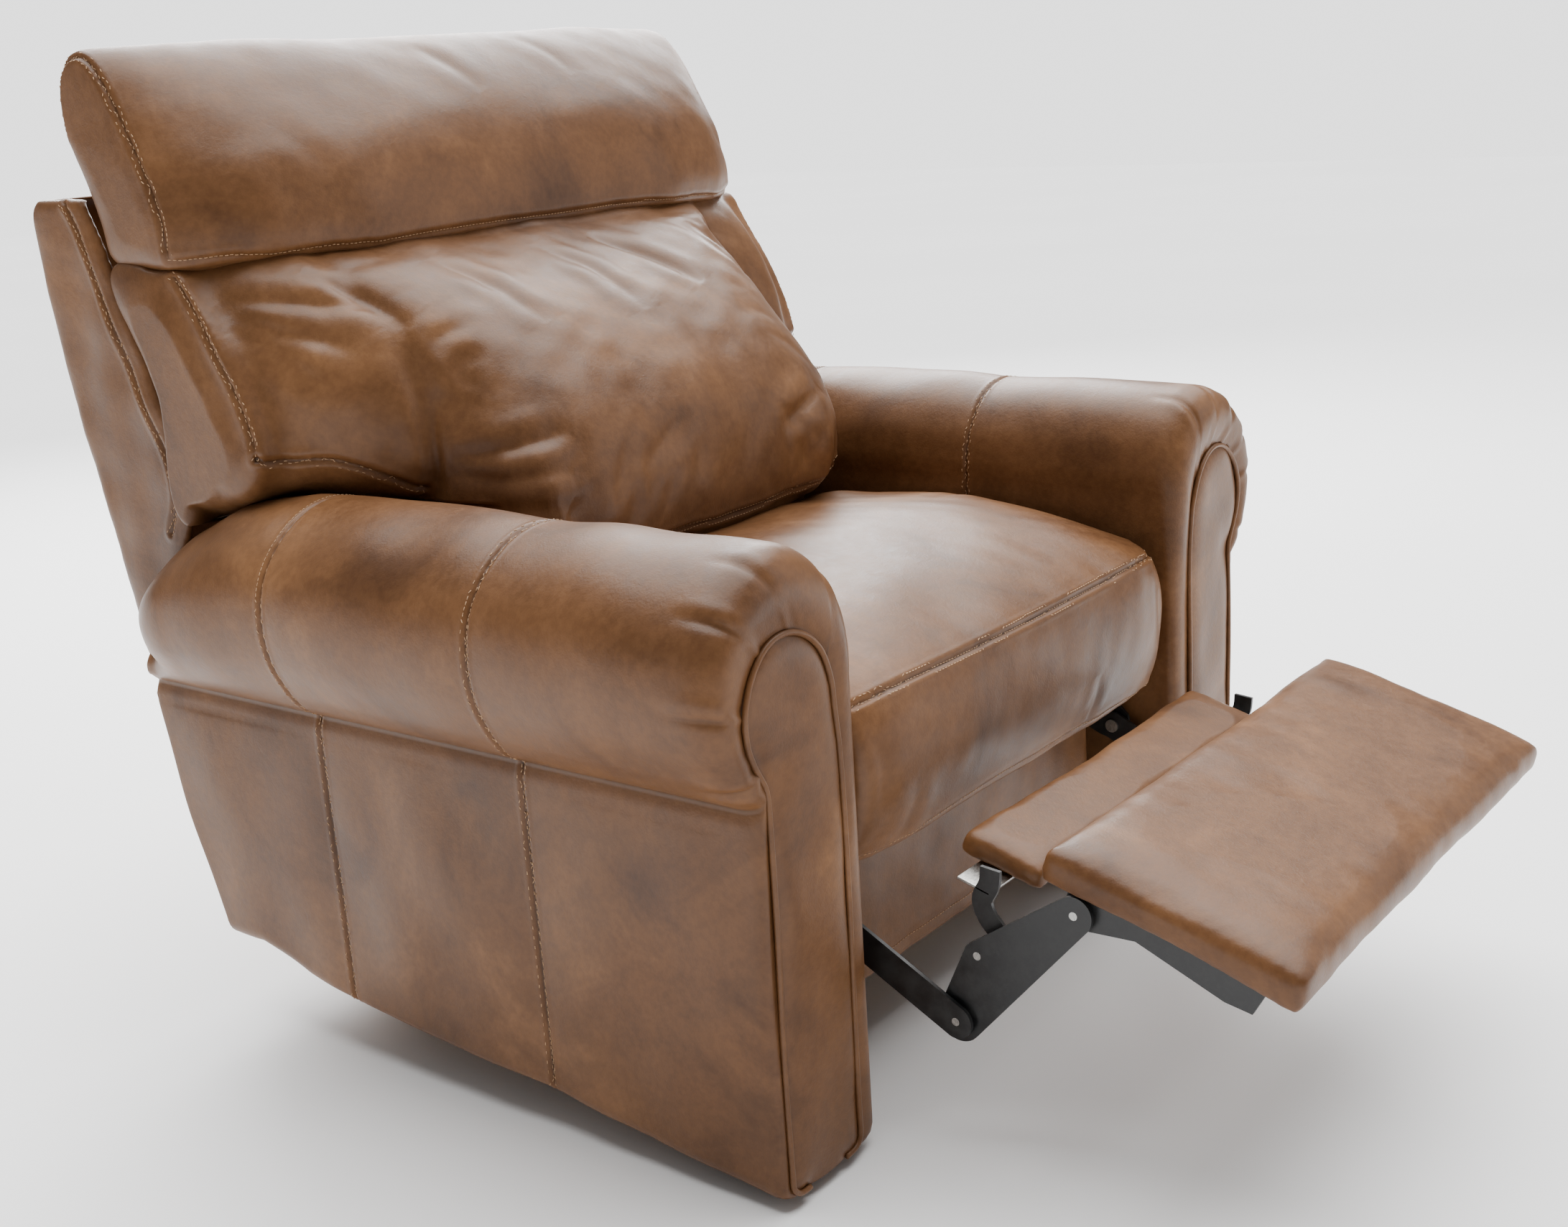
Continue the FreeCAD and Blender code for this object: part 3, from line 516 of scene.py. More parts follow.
# ---- camera, floor and light ------------------------------------------------------------------------

CAMERA_PLACE = (-1.67794, -1.24881, 1.00614)
CAMERA_AZIMUTH, CAMERA_ELEVATION, CAMERA_ROLL, LENS = -52.271, 15.777, -3.512, 44.36


def camera():
    azimuth, elevation, roll = (math.radians(v) for v in (CAMERA_AZIMUTH, CAMERA_ELEVATION, CAMERA_ROLL))
    back = Vector((math.sin(azimuth) * math.cos(elevation), -math.cos(azimuth) * math.cos(elevation),
                   math.sin(elevation)))
    right = (-back).cross(Vector((0.0, 0.0, 1.0))).normalized()
    up = right.cross(-back)
    x_axis = right * math.cos(roll) + up * math.sin(roll)
    y_axis = up * math.cos(roll) - right * math.sin(roll)
    data = bpy.data.cameras.new("camera")
    data.sensor_width = 36.0
    data.lens = LENS
    item = bpy.data.objects.new("camera", data)
    turn = Matrix((x_axis, y_axis, back)).transposed().to_4x4()
    item.matrix_world = Matrix.Translation(CAMERA_PLACE) @ turn
    bpy.context.scene.collection.objects.link(item)
    bpy.context.scene.camera = item


# name: (where it hangs, where it aims, its size, its power)
AREA_LIGHTS = {"window": ((2.2, 2.6, 2.2), (0.0, 0.0, 0.5), (3.4, 1.8), 230.0),
               "fill": ((2.2, -2.6, 2.0), (0.0, 0.0, 0.4), (2.4, 2.0), 25.0)}
SUN_FROM, SUN_STRENGTH, SUN_SPREAD = (1.6, 1.0, 5.0), 7.4, math.radians(75.0)
SOFT_LIGHT, PALE_SKY = 0.3, 2.2       # what lights the chair, and what the camera sees behind it
FLOOR_REACH, FLOOR_ROWS = 14.0, 40


def aimed_light(name, data, start, aim):
    item = bpy.data.objects.new(name, data)
    item.location = start
    item.rotation_euler = (Vector(aim) - Vector(start)).to_track_quat("-Z", "Y").to_euler()
    bpy.context.scene.collection.objects.link(item)


def studio():
    """Pale surroundings, a broad light overhead, two soft side lights and a plain floor."""
    world = bpy.data.worlds.new("studio")
    world.use_nodes = True
    nodes, links = world.node_tree.nodes, world.node_tree.links
    soft, pale = nodes["Background"], nodes.new("ShaderNodeBackground")
    for background, strength in ((soft, SOFT_LIGHT), (pale, PALE_SKY)):
        background.inputs["Color"].default_value = (1.0, 1.0, 1.0, 1.0)
        background.inputs["Strength"].default_value = strength
    seen, choice = nodes.new("ShaderNodeLightPath"), nodes.new("ShaderNodeMixShader")
    links.new(seen.outputs["Is Camera Ray"], choice.inputs["Fac"])
    links.new(soft.outputs["Background"], choice.inputs[1])
    links.new(pale.outputs["Background"], choice.inputs[2])
    links.new(choice.outputs["Shader"], nodes["World Output"].inputs["Surface"])
    bpy.context.scene.world = world
    sun = bpy.data.lights.new("overhead", "SUN")
    sun.energy, sun.angle = SUN_STRENGTH, SUN_SPREAD
    aimed_light("overhead", sun, SUN_FROM, (0.0, 0.0, 0.0))
    for name, (start, aim, size, power) in AREA_LIGHTS.items():
        data = bpy.data.lights.new(name, "AREA")
        data.shape = "RECTANGLE"
        data.size, data.size_y = size
        data.energy = power
        aimed_light(name, data, start, aim)
    line = np.linspace(-FLOOR_REACH, FLOOR_REACH, FLOOR_ROWS)
    mesh = bpy.data.meshes.new("floor")
    mesh.from_pydata([(x, y, 0.0) for x in line for y in line], [], grid_faces(FLOOR_ROWS, FLOOR_ROWS))
    floor = bpy.data.objects.new("floor", mesh)
    material, tree, shader = new_material("floor", grey(0.9))
    cloud = texture(tree, "ShaderNodeTexNoise", 0.6, 3.0)
    tree.links.new(ramp(tree, cloud.outputs["Fac"], [(0.3, grey(0.9)), (0.7, grey(0.93))]),
                   shader.inputs["Base Color"])
    shader.inputs["Roughness"].default_value = 0.8
    mesh.materials.append(material)
    bpy.context.scene.collection.objects.link(floor)


# ---- lofts and inflation ----------------------------------------------------------------------------

def loop(points, samples):
    """A closed smooth curve through points, evenly sampled."""
    points = np.asarray(points, float)
    a, b, c, d = (np.roll(points, shift, axis=0) for shift in (1, 0, -1, -2))
    t = np.linspace(0.0, 1.0, 12, endpoint=False)[:, None, None]
    curve = catmull_rom(a, b, c, d, t).transpose(1, 0, 2).reshape(-1, 2)
    ring = np.vstack([curve, curve[:1]])
    lengths = np.concatenate([[0.0], np.cumsum(np.linalg.norm(np.diff(ring, axis=0), axis=1))])
    marks = np.linspace(0.0, lengths[-1], samples, endpoint=False)
    return np.stack([np.interp(marks, lengths, ring[:, axis]) for axis in (0, 1)], axis=1)


def section(stations, reach):
    """The section (y, z) of a cushion between its stations."""
    marks = [mark for mark, _ in stations]
    outlines = np.array([outline for _, outline in stations], float)
    flat = outlines.reshape(len(marks), -1)
    return np.array([np.interp(reach, marks, flat[:, k]) for k in range(flat.shape[1])]).reshape(-1, 2)


def cushion(name, stations, body, step=8.0, samples=150):
    """A closed loft through sections from left to right, mirrored where the first is the middle plane."""
    if stations[0][0] == 0.0:
        stations = [(-x, outline) for x, outline in stations[:0:-1]] + stations
    low, high = stations[0][0], stations[-1][0]
    xs = sorted({round(x, 3) for x, _ in stations} | set(np.round(np.arange(low, high, step), 3)))
    vertices = []
    for x in xs:
        vertices += [(x, y, z) for y, z in loop(section(stations, x), samples)]
    faces = grid_faces(len(xs), samples, close_columns=True)
    for row, flip in ((0, -1), (len(xs) - 1, 1)):
        ring = vertices[row * samples:(row + 1) * samples]
        vertices.append(tuple(np.mean(ring, axis=0)))
        middle = len(vertices) - 1
        for number in range(samples):
            faces.append((row * samples + number, row * samples + (number + 1) % samples, middle)[::flip])
    return make_object(name, place(vertices), faces, MATERIALS["leather"], body)


def inset(outline, amount):
    """Draw an outline in towards its middle by an amount."""
    points = np.asarray(outline, float)
    spokes = points - points.mean(axis=0)
    reach = np.linalg.norm(spokes, axis=1)[:, None]
    return points - spokes / reach * amount


def pin(piece, paths, width):
    """Vertices near the given paths stay where they are while the piece is blown up."""
    points = coordinates(piece)
    weight = np.zeros(len(points))
    for path in paths:
        gap, _ = distance_to(points, resample(path, 0.004))
        weight = np.maximum(weight, np.where(gap < width, 1.0, 0.0))
    group = piece.vertex_groups.new(name="pin")
    for index in np.nonzero(weight)[0]:
        group.add([int(index)], 1.0, "REPLACE")


STUFFING = {"seat_cover": (4.0, 0.010, 0.0, 30), "back_pillow": (4.0, 0.024, 0.004, 8),
            "head_pillow": (3.0, 0.012, 0.0, 30), "footrest_cover": (2.0, 0.004, 0.0, 14),
            "flipper_cover": (2.0, 0.002, 0.0, 10)}


def inflate(pieces):
    """Blow pieces up as cloth, all at once, and keep the result. Pinned vertices hold still.

    STUFFING gives each one's pressure, the furthest that a point may move (m), the slack of its cover, and
    how many rounds of smoothing take out the small puckers afterwards.
    """
    before = [coordinates(piece) for piece in pieces]
    for piece in pieces:
        pressure, _, slack, _ = STUFFING[piece.name]
        cloth = piece.modifiers.new("cloth", "CLOTH")
        cloth.settings.quality = 5
        cloth.settings.mass = 0.4
        cloth.settings.tension_stiffness = 25.0
        cloth.settings.compression_stiffness = 25.0
        cloth.settings.shear_stiffness = 12.0
        cloth.settings.bending_stiffness = 1.2
        cloth.settings.air_damping = 3.0
        cloth.settings.use_pressure = True
        cloth.settings.uniform_pressure_force = pressure
        cloth.settings.shrink_min = -slack
        cloth.settings.effector_weights.gravity = 0.0
        if "pin" in piece.vertex_groups:
            cloth.settings.vertex_group_mass = "pin"
    scene = bpy.context.scene
    for number in range(1, 21):
        scene.frame_set(number)
    graph = bpy.context.evaluated_depsgraph_get()
    results = []
    for piece, start in zip(pieces, before):
        mesh = piece.evaluated_get(graph).to_mesh()
        flat = np.empty(len(mesh.vertices) * 3)
        mesh.vertices.foreach_get("co", flat)
        move = flat.reshape(-1, 3) - start
        reach = np.linalg.norm(move, axis=1)[:, None]
        cap = STUFFING[piece.name][1]
        results.append(start + move * np.minimum(1.0, cap / np.maximum(reach, 1e-9)))
    for piece, points in zip(pieces, results):
        piece.modifiers.clear()
        piece.vertex_groups.clear()
        set_coordinates(piece, points)
        apply_modifier(piece, "SMOOTH", factor=0.5, iterations=STUFFING[piece.name][3])
    scene.frame_set(1)


def calm(piece, seams, rounds, width=0.03):
    """Smooth a blown-up piece some more where it is well away from its seams and corners."""
    before = coordinates(piece)
    weight = np.ones(len(before))
    for path in seams:
        gap, _ = distance_to(before, resample(path, 0.006))
        weight = np.minimum(weight, np.clip((gap - 0.01) / width, 0.0, 1.0))
    apply_modifier(piece, "SMOOTH", factor=0.5, iterations=rounds)
    set_coordinates(piece, before + (coordinates(piece) - before) * weight[:, None])


def waves(piece, *sizes):
    """Push a piece in and out softly. Each size is (height m, wavelength m, seed)."""
    points = coordinates(piece)
    push(piece, sum(height * ripple(points, length, seed) for height, length, seed in sizes))


def settle(piece, *sizes):
    """Refine a piece and give it soft waves. Returns a function that lays paths on its shape before them."""
    refine(piece)
    surface = Surface(piece)
    waves(piece, *sizes)
    return lambda path: surface.lay(smooth_path(place(path), 0.004))[0]


def remesh(piece, voxel=0.006, rounds=4):
    apply_modifier(piece, "REMESH", mode="VOXEL", voxel_size=voxel)
    apply_modifier(piece, "SMOOTH", factor=0.5, iterations=rounds)


def refine(piece, levels=1):
    apply_modifier(piece, "SUBSURF", levels=levels, render_levels=levels)
    piece.data.shade_smooth()


def keep_between(piece, axis, low=None, high=None, where=None):
    """Flatten what passes a plane, where the piece rests on a neighbour. Shape millimetres."""
    points = coordinates(piece)
    shift = FRONT * MM if axis == 1 else 0.0
    chosen = np.ones(len(points), bool) if where is None else where(unplace(points))
    values = points[:, axis]
    if low is not None:
        values = np.where(chosen, np.maximum(values, low * MM + shift), values)
    if high is not None:
        values = np.where(chosen, np.minimum(values, high * MM + shift), values)
    points[:, axis] = values
    set_coordinates(piece, points)


def creases(piece, lines, depth=0.004, width=0.006):
    """Soft leather creases with a raised edge, that fade at their ends. Each line is shape millimetres."""
    surface = Surface(piece)
    for number, line in enumerate(lines):
        laid, _ = surface.lay(smooth_path(place(line), 0.004))
        scale = 0.8 + 0.4 * math.sin(2.3 * number + 0.7)
        press(piece, laid, depth * scale, width, lip=depth * 0.35, fade=True)


# ---- arms -------------------------------------------------------------------------------------------

ARM_BOTTOM = [(12.0, 12.0), (286.0, 43.0), (575.0, 65.0), (775.0, 102.0)]
ARM_REAR_EDGE = [(102.0, 775.0), (375.0, 851.0), (415.0, 845.0), (535.0, 816.0)]
ROLL_TOP = [(560.0, 611.0), (607.0, 609.0), (700.0, 592.0), (782.0, 567.0), (862.0, 535.0)]
ARM_SEAMS = (286.0, 575.0)
ROLL = [(326.0, 500.0), (328.0, 528.0), (340.0, 563.0), (370.0, 596.0), (414.0, 611.0), (458.0, 606.0),
        (497.0, 583.0), (524.0, 549.0), (533.0, 508.0), (528.0, 466.0), (512.0, 430.0), (497.0, 408.0)]
FACING_SCROLL = [(361.0, 430.0), (364.0, 456.0), (368.0, 484.0), (382.0, 515.0), (404.0, 534.0),
                 (430.0, 541.0), (456.0, 535.0), (478.0, 515.0), (490.0, 487.0), (489.0, 460.0),
                 (481.0, 440.0), (472.0, 424.0)]
ARM_COUNTS = (64, 120, 10, 76)        # points of a ring on the inner face, roll, crease and outer face
DECK, ROLL_HEIGHT = 400.0, 211.0      # where the roll starts, and how far it rises at the front
ARM_DEPTH = 862.0
STRAIGHT_TO = 650.0                   # behind this the rings lean towards the sloping rear edge
TAPER_FROM, TAPER_LENGTH, TAPER = 745.0, 72.0, 0.30
TAPER_X, TAPER_Z = 440.0, 470.0       # the roll narrows towards this line at its rear
SCROLL_CENTRE = (429.5, 479.0)
ARM_MIDDLE = 402.0
PLEATS = {"L": ((4.0, 1.0), (58.0, 1.1), (98.0, 0.8), (-48.0, 1.2), (168.0, 0.7)),
          "R": ((8.0, 1.0), (42.0, 1.0), (74.0, 1.1), (108.0, 0.9), (146.0, 1.0), (-44.0, 0.9))}


def curve_2d(points, count):
    path = smooth_path([(a, b, 0.0) for a, b in points], 1.0)[:, :2]
    lengths = np.concatenate([[0.0], np.cumsum(np.linalg.norm(np.diff(path, axis=0), axis=1))])
    marks = np.linspace(0.0, lengths[-1], count)
    return np.stack([np.interp(marks, lengths, path[:, axis]) for axis in (0, 1)], axis=1)


def arm_outline(bottom, corner=9.0):
    """The cover's section: up the inner face, over the roll, in at the crease and down the outer face."""
    inner, roll, crease, outer = ARM_COUNTS
    return np.vstack([
        curve_2d([(ARM_INNER + 26.0, bottom), (ARM_INNER + corner, bottom + 1.0),
                  (ARM_INNER + 0.5, bottom + corner), (ARM_INNER, bottom + 40.0), (ARM_INNER, 250.0),
                  (ARM_INNER, 400.0), (ARM_INNER, 490.0)], inner),
        curve_2d(ROLL, roll),
        curve_2d([(492.0, 403.0), (482.0, 397.0), (475.0, 392.0), (477.0, 385.0), (479.0, 376.0)], crease),
        curve_2d([(479.0, 370.0), (ARM_OUTER + 1.0, 300.0), (ARM_OUTER, 150.0 + bottom / 2),
                  (ARM_OUTER, bottom + 30.0), (ARM_OUTER - 0.5, bottom + corner),
                  (ARM_OUTER - corner, bottom + 1.0), (ARM_OUTER - 26.0, bottom)], outer)])


def facing_outline(bottom=15.0, corner=10.0):
    inner, roll, crease, outer = ARM_COUNTS
    low, high = 359.0, 466.0
    return np.vstack([
        curve_2d([(low + 24.0, bottom), (low + corner, bottom + 1.0), (low + 0.5, bottom + corner),
                  (low, bottom + 40.0), (low, 250.0), (low, 380.0), (low + 1.5, 424.0)], inner),
        curve_2d(FACING_SCROLL, roll),
        curve_2d([(470.0, 421.0), (467.0, 414.0), (465.5, 405.0)], crease),
        curve_2d([(465.0, 400.0), (high - 0.5, 300.0), (high, 150.0), (high, bottom + 30.0),
                  (high - 0.5, bottom + corner), (high - corner, bottom + 1.0),
                  (high - 24.0, bottom)], outer)])


def arm_rows():
    """Distances from the front at which the cover has a ring, closer together beside the seams."""
    rows = list(np.arange(50.0, ARM_DEPTH, 6.0))
    for seam in ARM_SEAMS:
        rows = [row for row in rows if abs(row - seam) > 15.0]
        rows += list(np.arange(seam - 15.0, seam + 15.5, 1.5))
    return np.array(sorted(rows))


def swell(value, low, high, power=0.6):
    """0 at both ends of a range and 1 in its middle, steep at the ends like a stuffed cover."""
    share = np.clip((value - low) / (high - low), 0.0, 1.0)
    return np.sin(share * math.pi) ** power


def paired_cap(first, count, columns, vertices, faces, flip):
    """Close a ring that starts at vertex number first, with strips between its two halves."""
    ring = np.array(vertices[first:first + count])
    half = count // 2
    indices = np.zeros((half, columns + 1), int)
    for row in range(half):
        indices[row, 0], indices[row, columns] = first + row, first + count - 1 - row
        for column in range(1, columns):
            share = column / columns
            vertices.append(tuple(ring[row] * (1 - share) + ring[count - 1 - row] * share))
            indices[row, column] = len(vertices) - 1
    for row in range(half - 1):
        for column in range(columns):
            quad = (indices[row, column], indices[row, column + 1], indices[row + 1, column + 1],
                    indices[row + 1, column])
            faces.append(tuple(int(n) for n in (quad[::-1] if flip else quad)))


def arm_cover(name, sign):
    """One sleeve of leather round an arm, gathered into pleats round the scroll at its front."""
    facing = facing_outline()
    count = len(facing)
    inner, roll, crease, outer = ARM_COUNTS
    number = np.arange(count)
    on_roll = np.clip(np.minimum((number - inner + 12) / 24.0, (inner + roll + crease + 8 - number) / 20.0),
                      0, 1)
    depth = 13.0 + 21.0 * on_roll
    angle = np.degrees(np.arctan2(facing[:, 1] - SCROLL_CENTRE[1], facing[:, 0] - SCROLL_CENTRE[0]))
    rings = []
    full = arm_outline(ARM_BOTTOM[0][1])
    for turn in np.radians(np.linspace(0.0, 90.0, 22)):
        x_z = facing + (full - facing) * math.sin(turn) ** 0.9
        y = 3.0 + depth * (1.0 - math.cos(turn)) - (3.0 + 8.0 * on_roll) * math.sin(2.0 * turn)
        rings.append(np.column_stack([x_z[:, 0], y, x_z[:, 1]]))
    for mark in arm_rows():
        outline = arm_outline(float(np.interp(mark, *zip(*ARM_BOTTOM))))
        top = float(np.interp(mark, *zip(*ROLL_TOP)))
        above = np.maximum(outline[:, 1] - DECK, 0.0)
        outline[:, 1] = np.minimum(outline[:, 1], DECK) + above * (top - DECK) / ROLL_HEIGHT
        y = np.full(count, mark)
        rear = np.interp(outline[:, 1], *zip(*ARM_REAR_EDGE))
        past = np.maximum(y - STRAIGHT_TO, 0.0)
        y = np.minimum(y, STRAIGHT_TO) + past * (rear - STRAIGHT_TO) / (ARM_DEPTH - STRAIGHT_TO)
        shrink = 1.0 - (TAPER * np.clip((y - TAPER_FROM) / TAPER_LENGTH, 0.0, 1.2) ** 2
                        * np.clip((outline[:, 1] - DECK + 5.0) / 30.0, 0, 1))
        x = np.where(outline[:, 0] > TAPER_X, TAPER_X + (outline[:, 0] - TAPER_X) * shrink, outline[:, 0])
        z = np.where(outline[:, 1] > TAPER_Z, TAPER_Z + (outline[:, 1] - TAPER_Z) * shrink, outline[:, 1])
        rings.append(np.column_stack([x, y, z]))
    last = rings[-1]
    for step in (1.5, 4.0, 8.0):
        tight = last.copy()
        tight[:, 0] += (ARM_MIDDLE - last[:, 0]) * step * step / 900.0
        tight[:, 1] += step * 0.8
        rings.append(tight)
    sleeve = np.array(rings)
    number_rows = len(rings)

    # stuffing between the seams, pleats round the scroll
    normal = np.gradient(sleeve, axis=1)
    out = np.stack([-normal[..., 2], np.zeros(normal.shape[:2]), normal[..., 0]], axis=-1)
    out /= np.maximum(np.linalg.norm(out, axis=2), 1e-9)[..., None]
    y = sleeve[..., 1]
    stuffed = np.maximum.reduce([swell(y, -30.0, ARM_SEAMS[0]), swell(y, *ARM_SEAMS),
                                 swell(y, ARM_SEAMS[1], 900.0)])
    part = np.zeros(count)
    part[inner:inner + roll] = 4.5 * np.sin(np.linspace(0.0, math.pi, roll)) ** 0.5
    start = inner + roll + crease
    part[start:] = 8.0 * np.sin(np.linspace(0.0, math.pi, outer)) ** 0.6
    lumps = ripple((sleeve * MM).reshape(-1, 3), 0.16, 11 if sign > 0 else 12).reshape(y.shape)
    grown = part[None] * (stuffed * (1.0 + 0.25 * lumps))
    reach = np.clip(1.0 - (y - 5.0) / 62.0, 0.0, 1.0) ** 1.3
    for middle_angle, strength in PLEATS["R" if sign > 0 else "L"]:
        gap = (angle - middle_angle + 180.0) % 360.0 - 180.0
        fold = np.exp(-(gap / 3.4) ** 2) - 0.45 * np.exp(-((gap - 8.0) / 5.0) ** 2)
        grown -= 4.6 * strength * fold[None] * reach * on_roll[None]
    away = -out if np.mean(out[number_rows // 2, :inner, 0]) > 0 else out
    sleeve = sleeve + away * grown[..., None]
    sleeve[..., 0] *= sign

    vertices = [tuple(p) for p in sleeve.reshape(-1, 3)]
    faces = grid_faces(number_rows, count, close_columns=True)
    paired_cap(0, count, 8, vertices, faces, flip=False)
    paired_cap((number_rows - 1) * count, count, 8, vertices, faces, flip=True)
    piece = make_object(name, place(vertices), faces, MATERIALS["leather"], "base")
    clean(piece, 0.00002)
    return piece


def arm_facing(name, sign):
    """The domed panel on the front of an arm, with the welt sewn round it."""
    outline = facing_outline()
    half, columns = len(outline) // 2, 26
    share = np.linspace(0.0, 1.0, columns + 1)
    share = 0.5 - 0.5 * np.cos(share * math.pi)
    left, right = outline[:half], outline[::-1][:half]
    flat = left[:, None] * (1 - share)[None, :, None] + right[:, None] * share[None, :, None]
    flat = flat.reshape(-1, 2)
    edge = np.array([np.linalg.norm(outline - point, axis=1).min() for point in flat])
    rise = np.sqrt(1.0 - (1.0 - np.clip(edge / 26.0, 0.0, 1.0)) ** 2)
    sag = 2.5 * np.exp(-((flat[:, 0] - 452.0) / 16.0) ** 2 - ((flat[:, 1] - 414.0) / 22.0) ** 2)
    front = np.column_stack([flat[:, 0], 4.0 - 6.5 * rise + sag, flat[:, 1]])
    front[:, 1] += 0.5 * ripple(front * MM, 0.09, 21)
    back = np.column_stack([flat[:, 0], np.full(len(flat), 11.0), flat[:, 1]])
    vertices = np.vstack([front, back])
    vertices[:, 0] *= sign
    faces = grid_faces(half, columns + 1)
    faces += [tuple(n + len(front) for n in face[::-1]) for face in faces]
    width = columns + 1
    rim = [n * width for n in range(half)] + list(range((half - 1) * width, half * width))
    rim += [n * width + columns for n in reversed(range(half))] + list(reversed(range(width)))
    rim = [n for n, following in zip(rim, rim[1:] + rim[:1]) if n != following]
    for a, b in zip(rim, rim[1:] + rim[:1]):
        faces.append((a, b, b + len(front), a + len(front)))
    piece = make_object(name, place(vertices), faces, MATERIALS["leather"], "base")
    clean(piece, 0.00002)
    spokes = np.gradient(outline, axis=0)
    out = np.column_stack([-spokes[:, 1], spokes[:, 0]])
    out /= np.maximum(np.linalg.norm(out, axis=1), 1e-9)[:, None]
    ring = outline + out * 1.0
    path = np.column_stack([ring[:, 0] * sign, np.full(len(ring), 0.5), ring[:, 1]])
    path[:, 1] += 0.8 * np.sin(np.linspace(0.0, 30.0, len(path)))
    welt(name.replace("facing", "facing_welt"), resample(place(path), 0.004), 0.0029, "base")
    return piece


def arm_seam_path(sign, mark):
    outline = arm_outline(float(np.interp(mark, *zip(*ARM_BOTTOM))))[12:-6]
    return place([(sign * x, mark, z) for x, z in outline])


def arms():
    for side, sign in (("L", -1.0), ("R", 1.0)):
        cover = arm_cover("arm_cover_" + side, sign)
        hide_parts("arm_inner_panel_" + side, "arm_outer_panel_" + side, "arm_roll_" + side)
        for number, mark in enumerate(ARM_SEAMS):
            sewn_seam(f"arm_stitches_{side}_{number}", cover, arm_seam_path(sign, mark), "base",
                      (-0.0045, 0.0045), depth=0.0026, width=0.0022, lip=0.0005)
        facing = arm_facing("arm_facing_" + side, sign)
        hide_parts("front_facing_" + side)


# ---- seat -------------------------------------------------------------------------------------------

SEAT = [(488, 292), (300, 292), (150, 292), (96, 290), (62, 274), (34, 269), (15, 284), (2, 325),
        (-3, 378), (1, 418), (13, 443), (36, 460), (75, 474), (120, 486), (200, 499), (280, 504),
        (370, 499), (440, 489), (482, 474), (491, 440), (490, 350)]


def moved(outline, changes):
    """An outline with some of its points moved: {number: (dy, dz)}."""
    points = [list(map(float, point)) for point in outline]
    for number, (dy, dz) in changes.items():
        points[number][0] += dy
        points[number][1] += dz
    return points


def seat():
    edge = moved(SEAT, {4: (4, 0), 5: (5, 0), 6: (5, 2), 7: (6, 0), 8: (7, 0), 9: (8, -4), 10: (8, -8),
                        11: (6, -10), 12: (4, -12), 13: (0, -14), 14: (0, -16), 15: (0, -16), 16: (0, -14),
                        17: (0, -10)})
    stations = [(0.0, SEAT), (240.0, SEAT), (296.0, edge), (312.0, inset(edge, 8.0)),
                (317.0, inset(edge, 16.0))]
    piece = cushion("seat_cover", stations, "seat")
    remesh(piece)
    return piece


SEAT_TOP_SEAM = [(-316, 60, 446), (-312, 24, 442), (-290, 14, 443), (-200, 11, 441), (0, 9, 440),
                 (200, 11, 441), (290, 14, 443), (312, 24, 442), (316, 60, 446)]
SEAT_SIDE_SEAM = [(314, 60, 447), (315, 130, 462), (315, 260, 478), (315, 400, 474)]
SEAT_FOOT_SEAM = [(-315, 60, 272), (-308, 30, 271), (-280, 22, 274), (-150, 18, 282), (0, 16, 285),
                  (150, 18, 282), (280, 22, 274), (308, 30, 271), (315, 60, 272)]


def mirrored(path):
    return [(-x, y, z) for x, y, z in path]


def finish_seat(piece):
    lay = settle(piece, (0.0009, 0.15, 31), (0.00015, 0.05, 32))
    creases(piece, [[(-300, 12, 420), (-285, 6, 370), (-290, 8, 320)],
                    [(300, 12, 420), (288, 6, 380), (292, 9, 330)],
                    [(-250, 20, 285), (-235, 8, 320), (-240, 6, 350)],
                    [(120, 20, 286), (130, 8, 318), (124, 6, 345)],
                    [(-306, 180, 480), (-250, 190, 496), (-190, 186, 501)],
                    [(306, 250, 484), (250, 262, 500), (200, 258, 503)]], depth=0.002, width=0.009)
    keep_between(piece, 2, low=265.5, where=lambda p: p[:, 1] < 80.0)
    keep_between(piece, 2, low=289.0, where=lambda p: p[:, 1] >= 96.0)
    keep_between(piece, 0, low=-319.5, high=319.5)
    keep_between(piece, 1, high=492.0)
    sewn_seam("seat_top_stitches", piece, lay(SEAT_TOP_SEAM), "seat", WIDE_TWIN, 0.0036, 0.0026, 0.0008)
    sewn_seam("seat_foot_stitches", piece, lay(SEAT_FOOT_SEAM), "seat", (0.006,), 0.0035, 0.003, 0.001)
    for name, path in (("R", SEAT_SIDE_SEAM), ("L", mirrored(SEAT_SIDE_SEAM))):
        sewn_seam("seat_side_stitches_" + name, piece, lay(path), "seat", (0.005,), 0.003, 0.003, 0.001)
    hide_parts("seat_cushion")


# ---- back pillow and head bolster -------------------------------------------------------------------

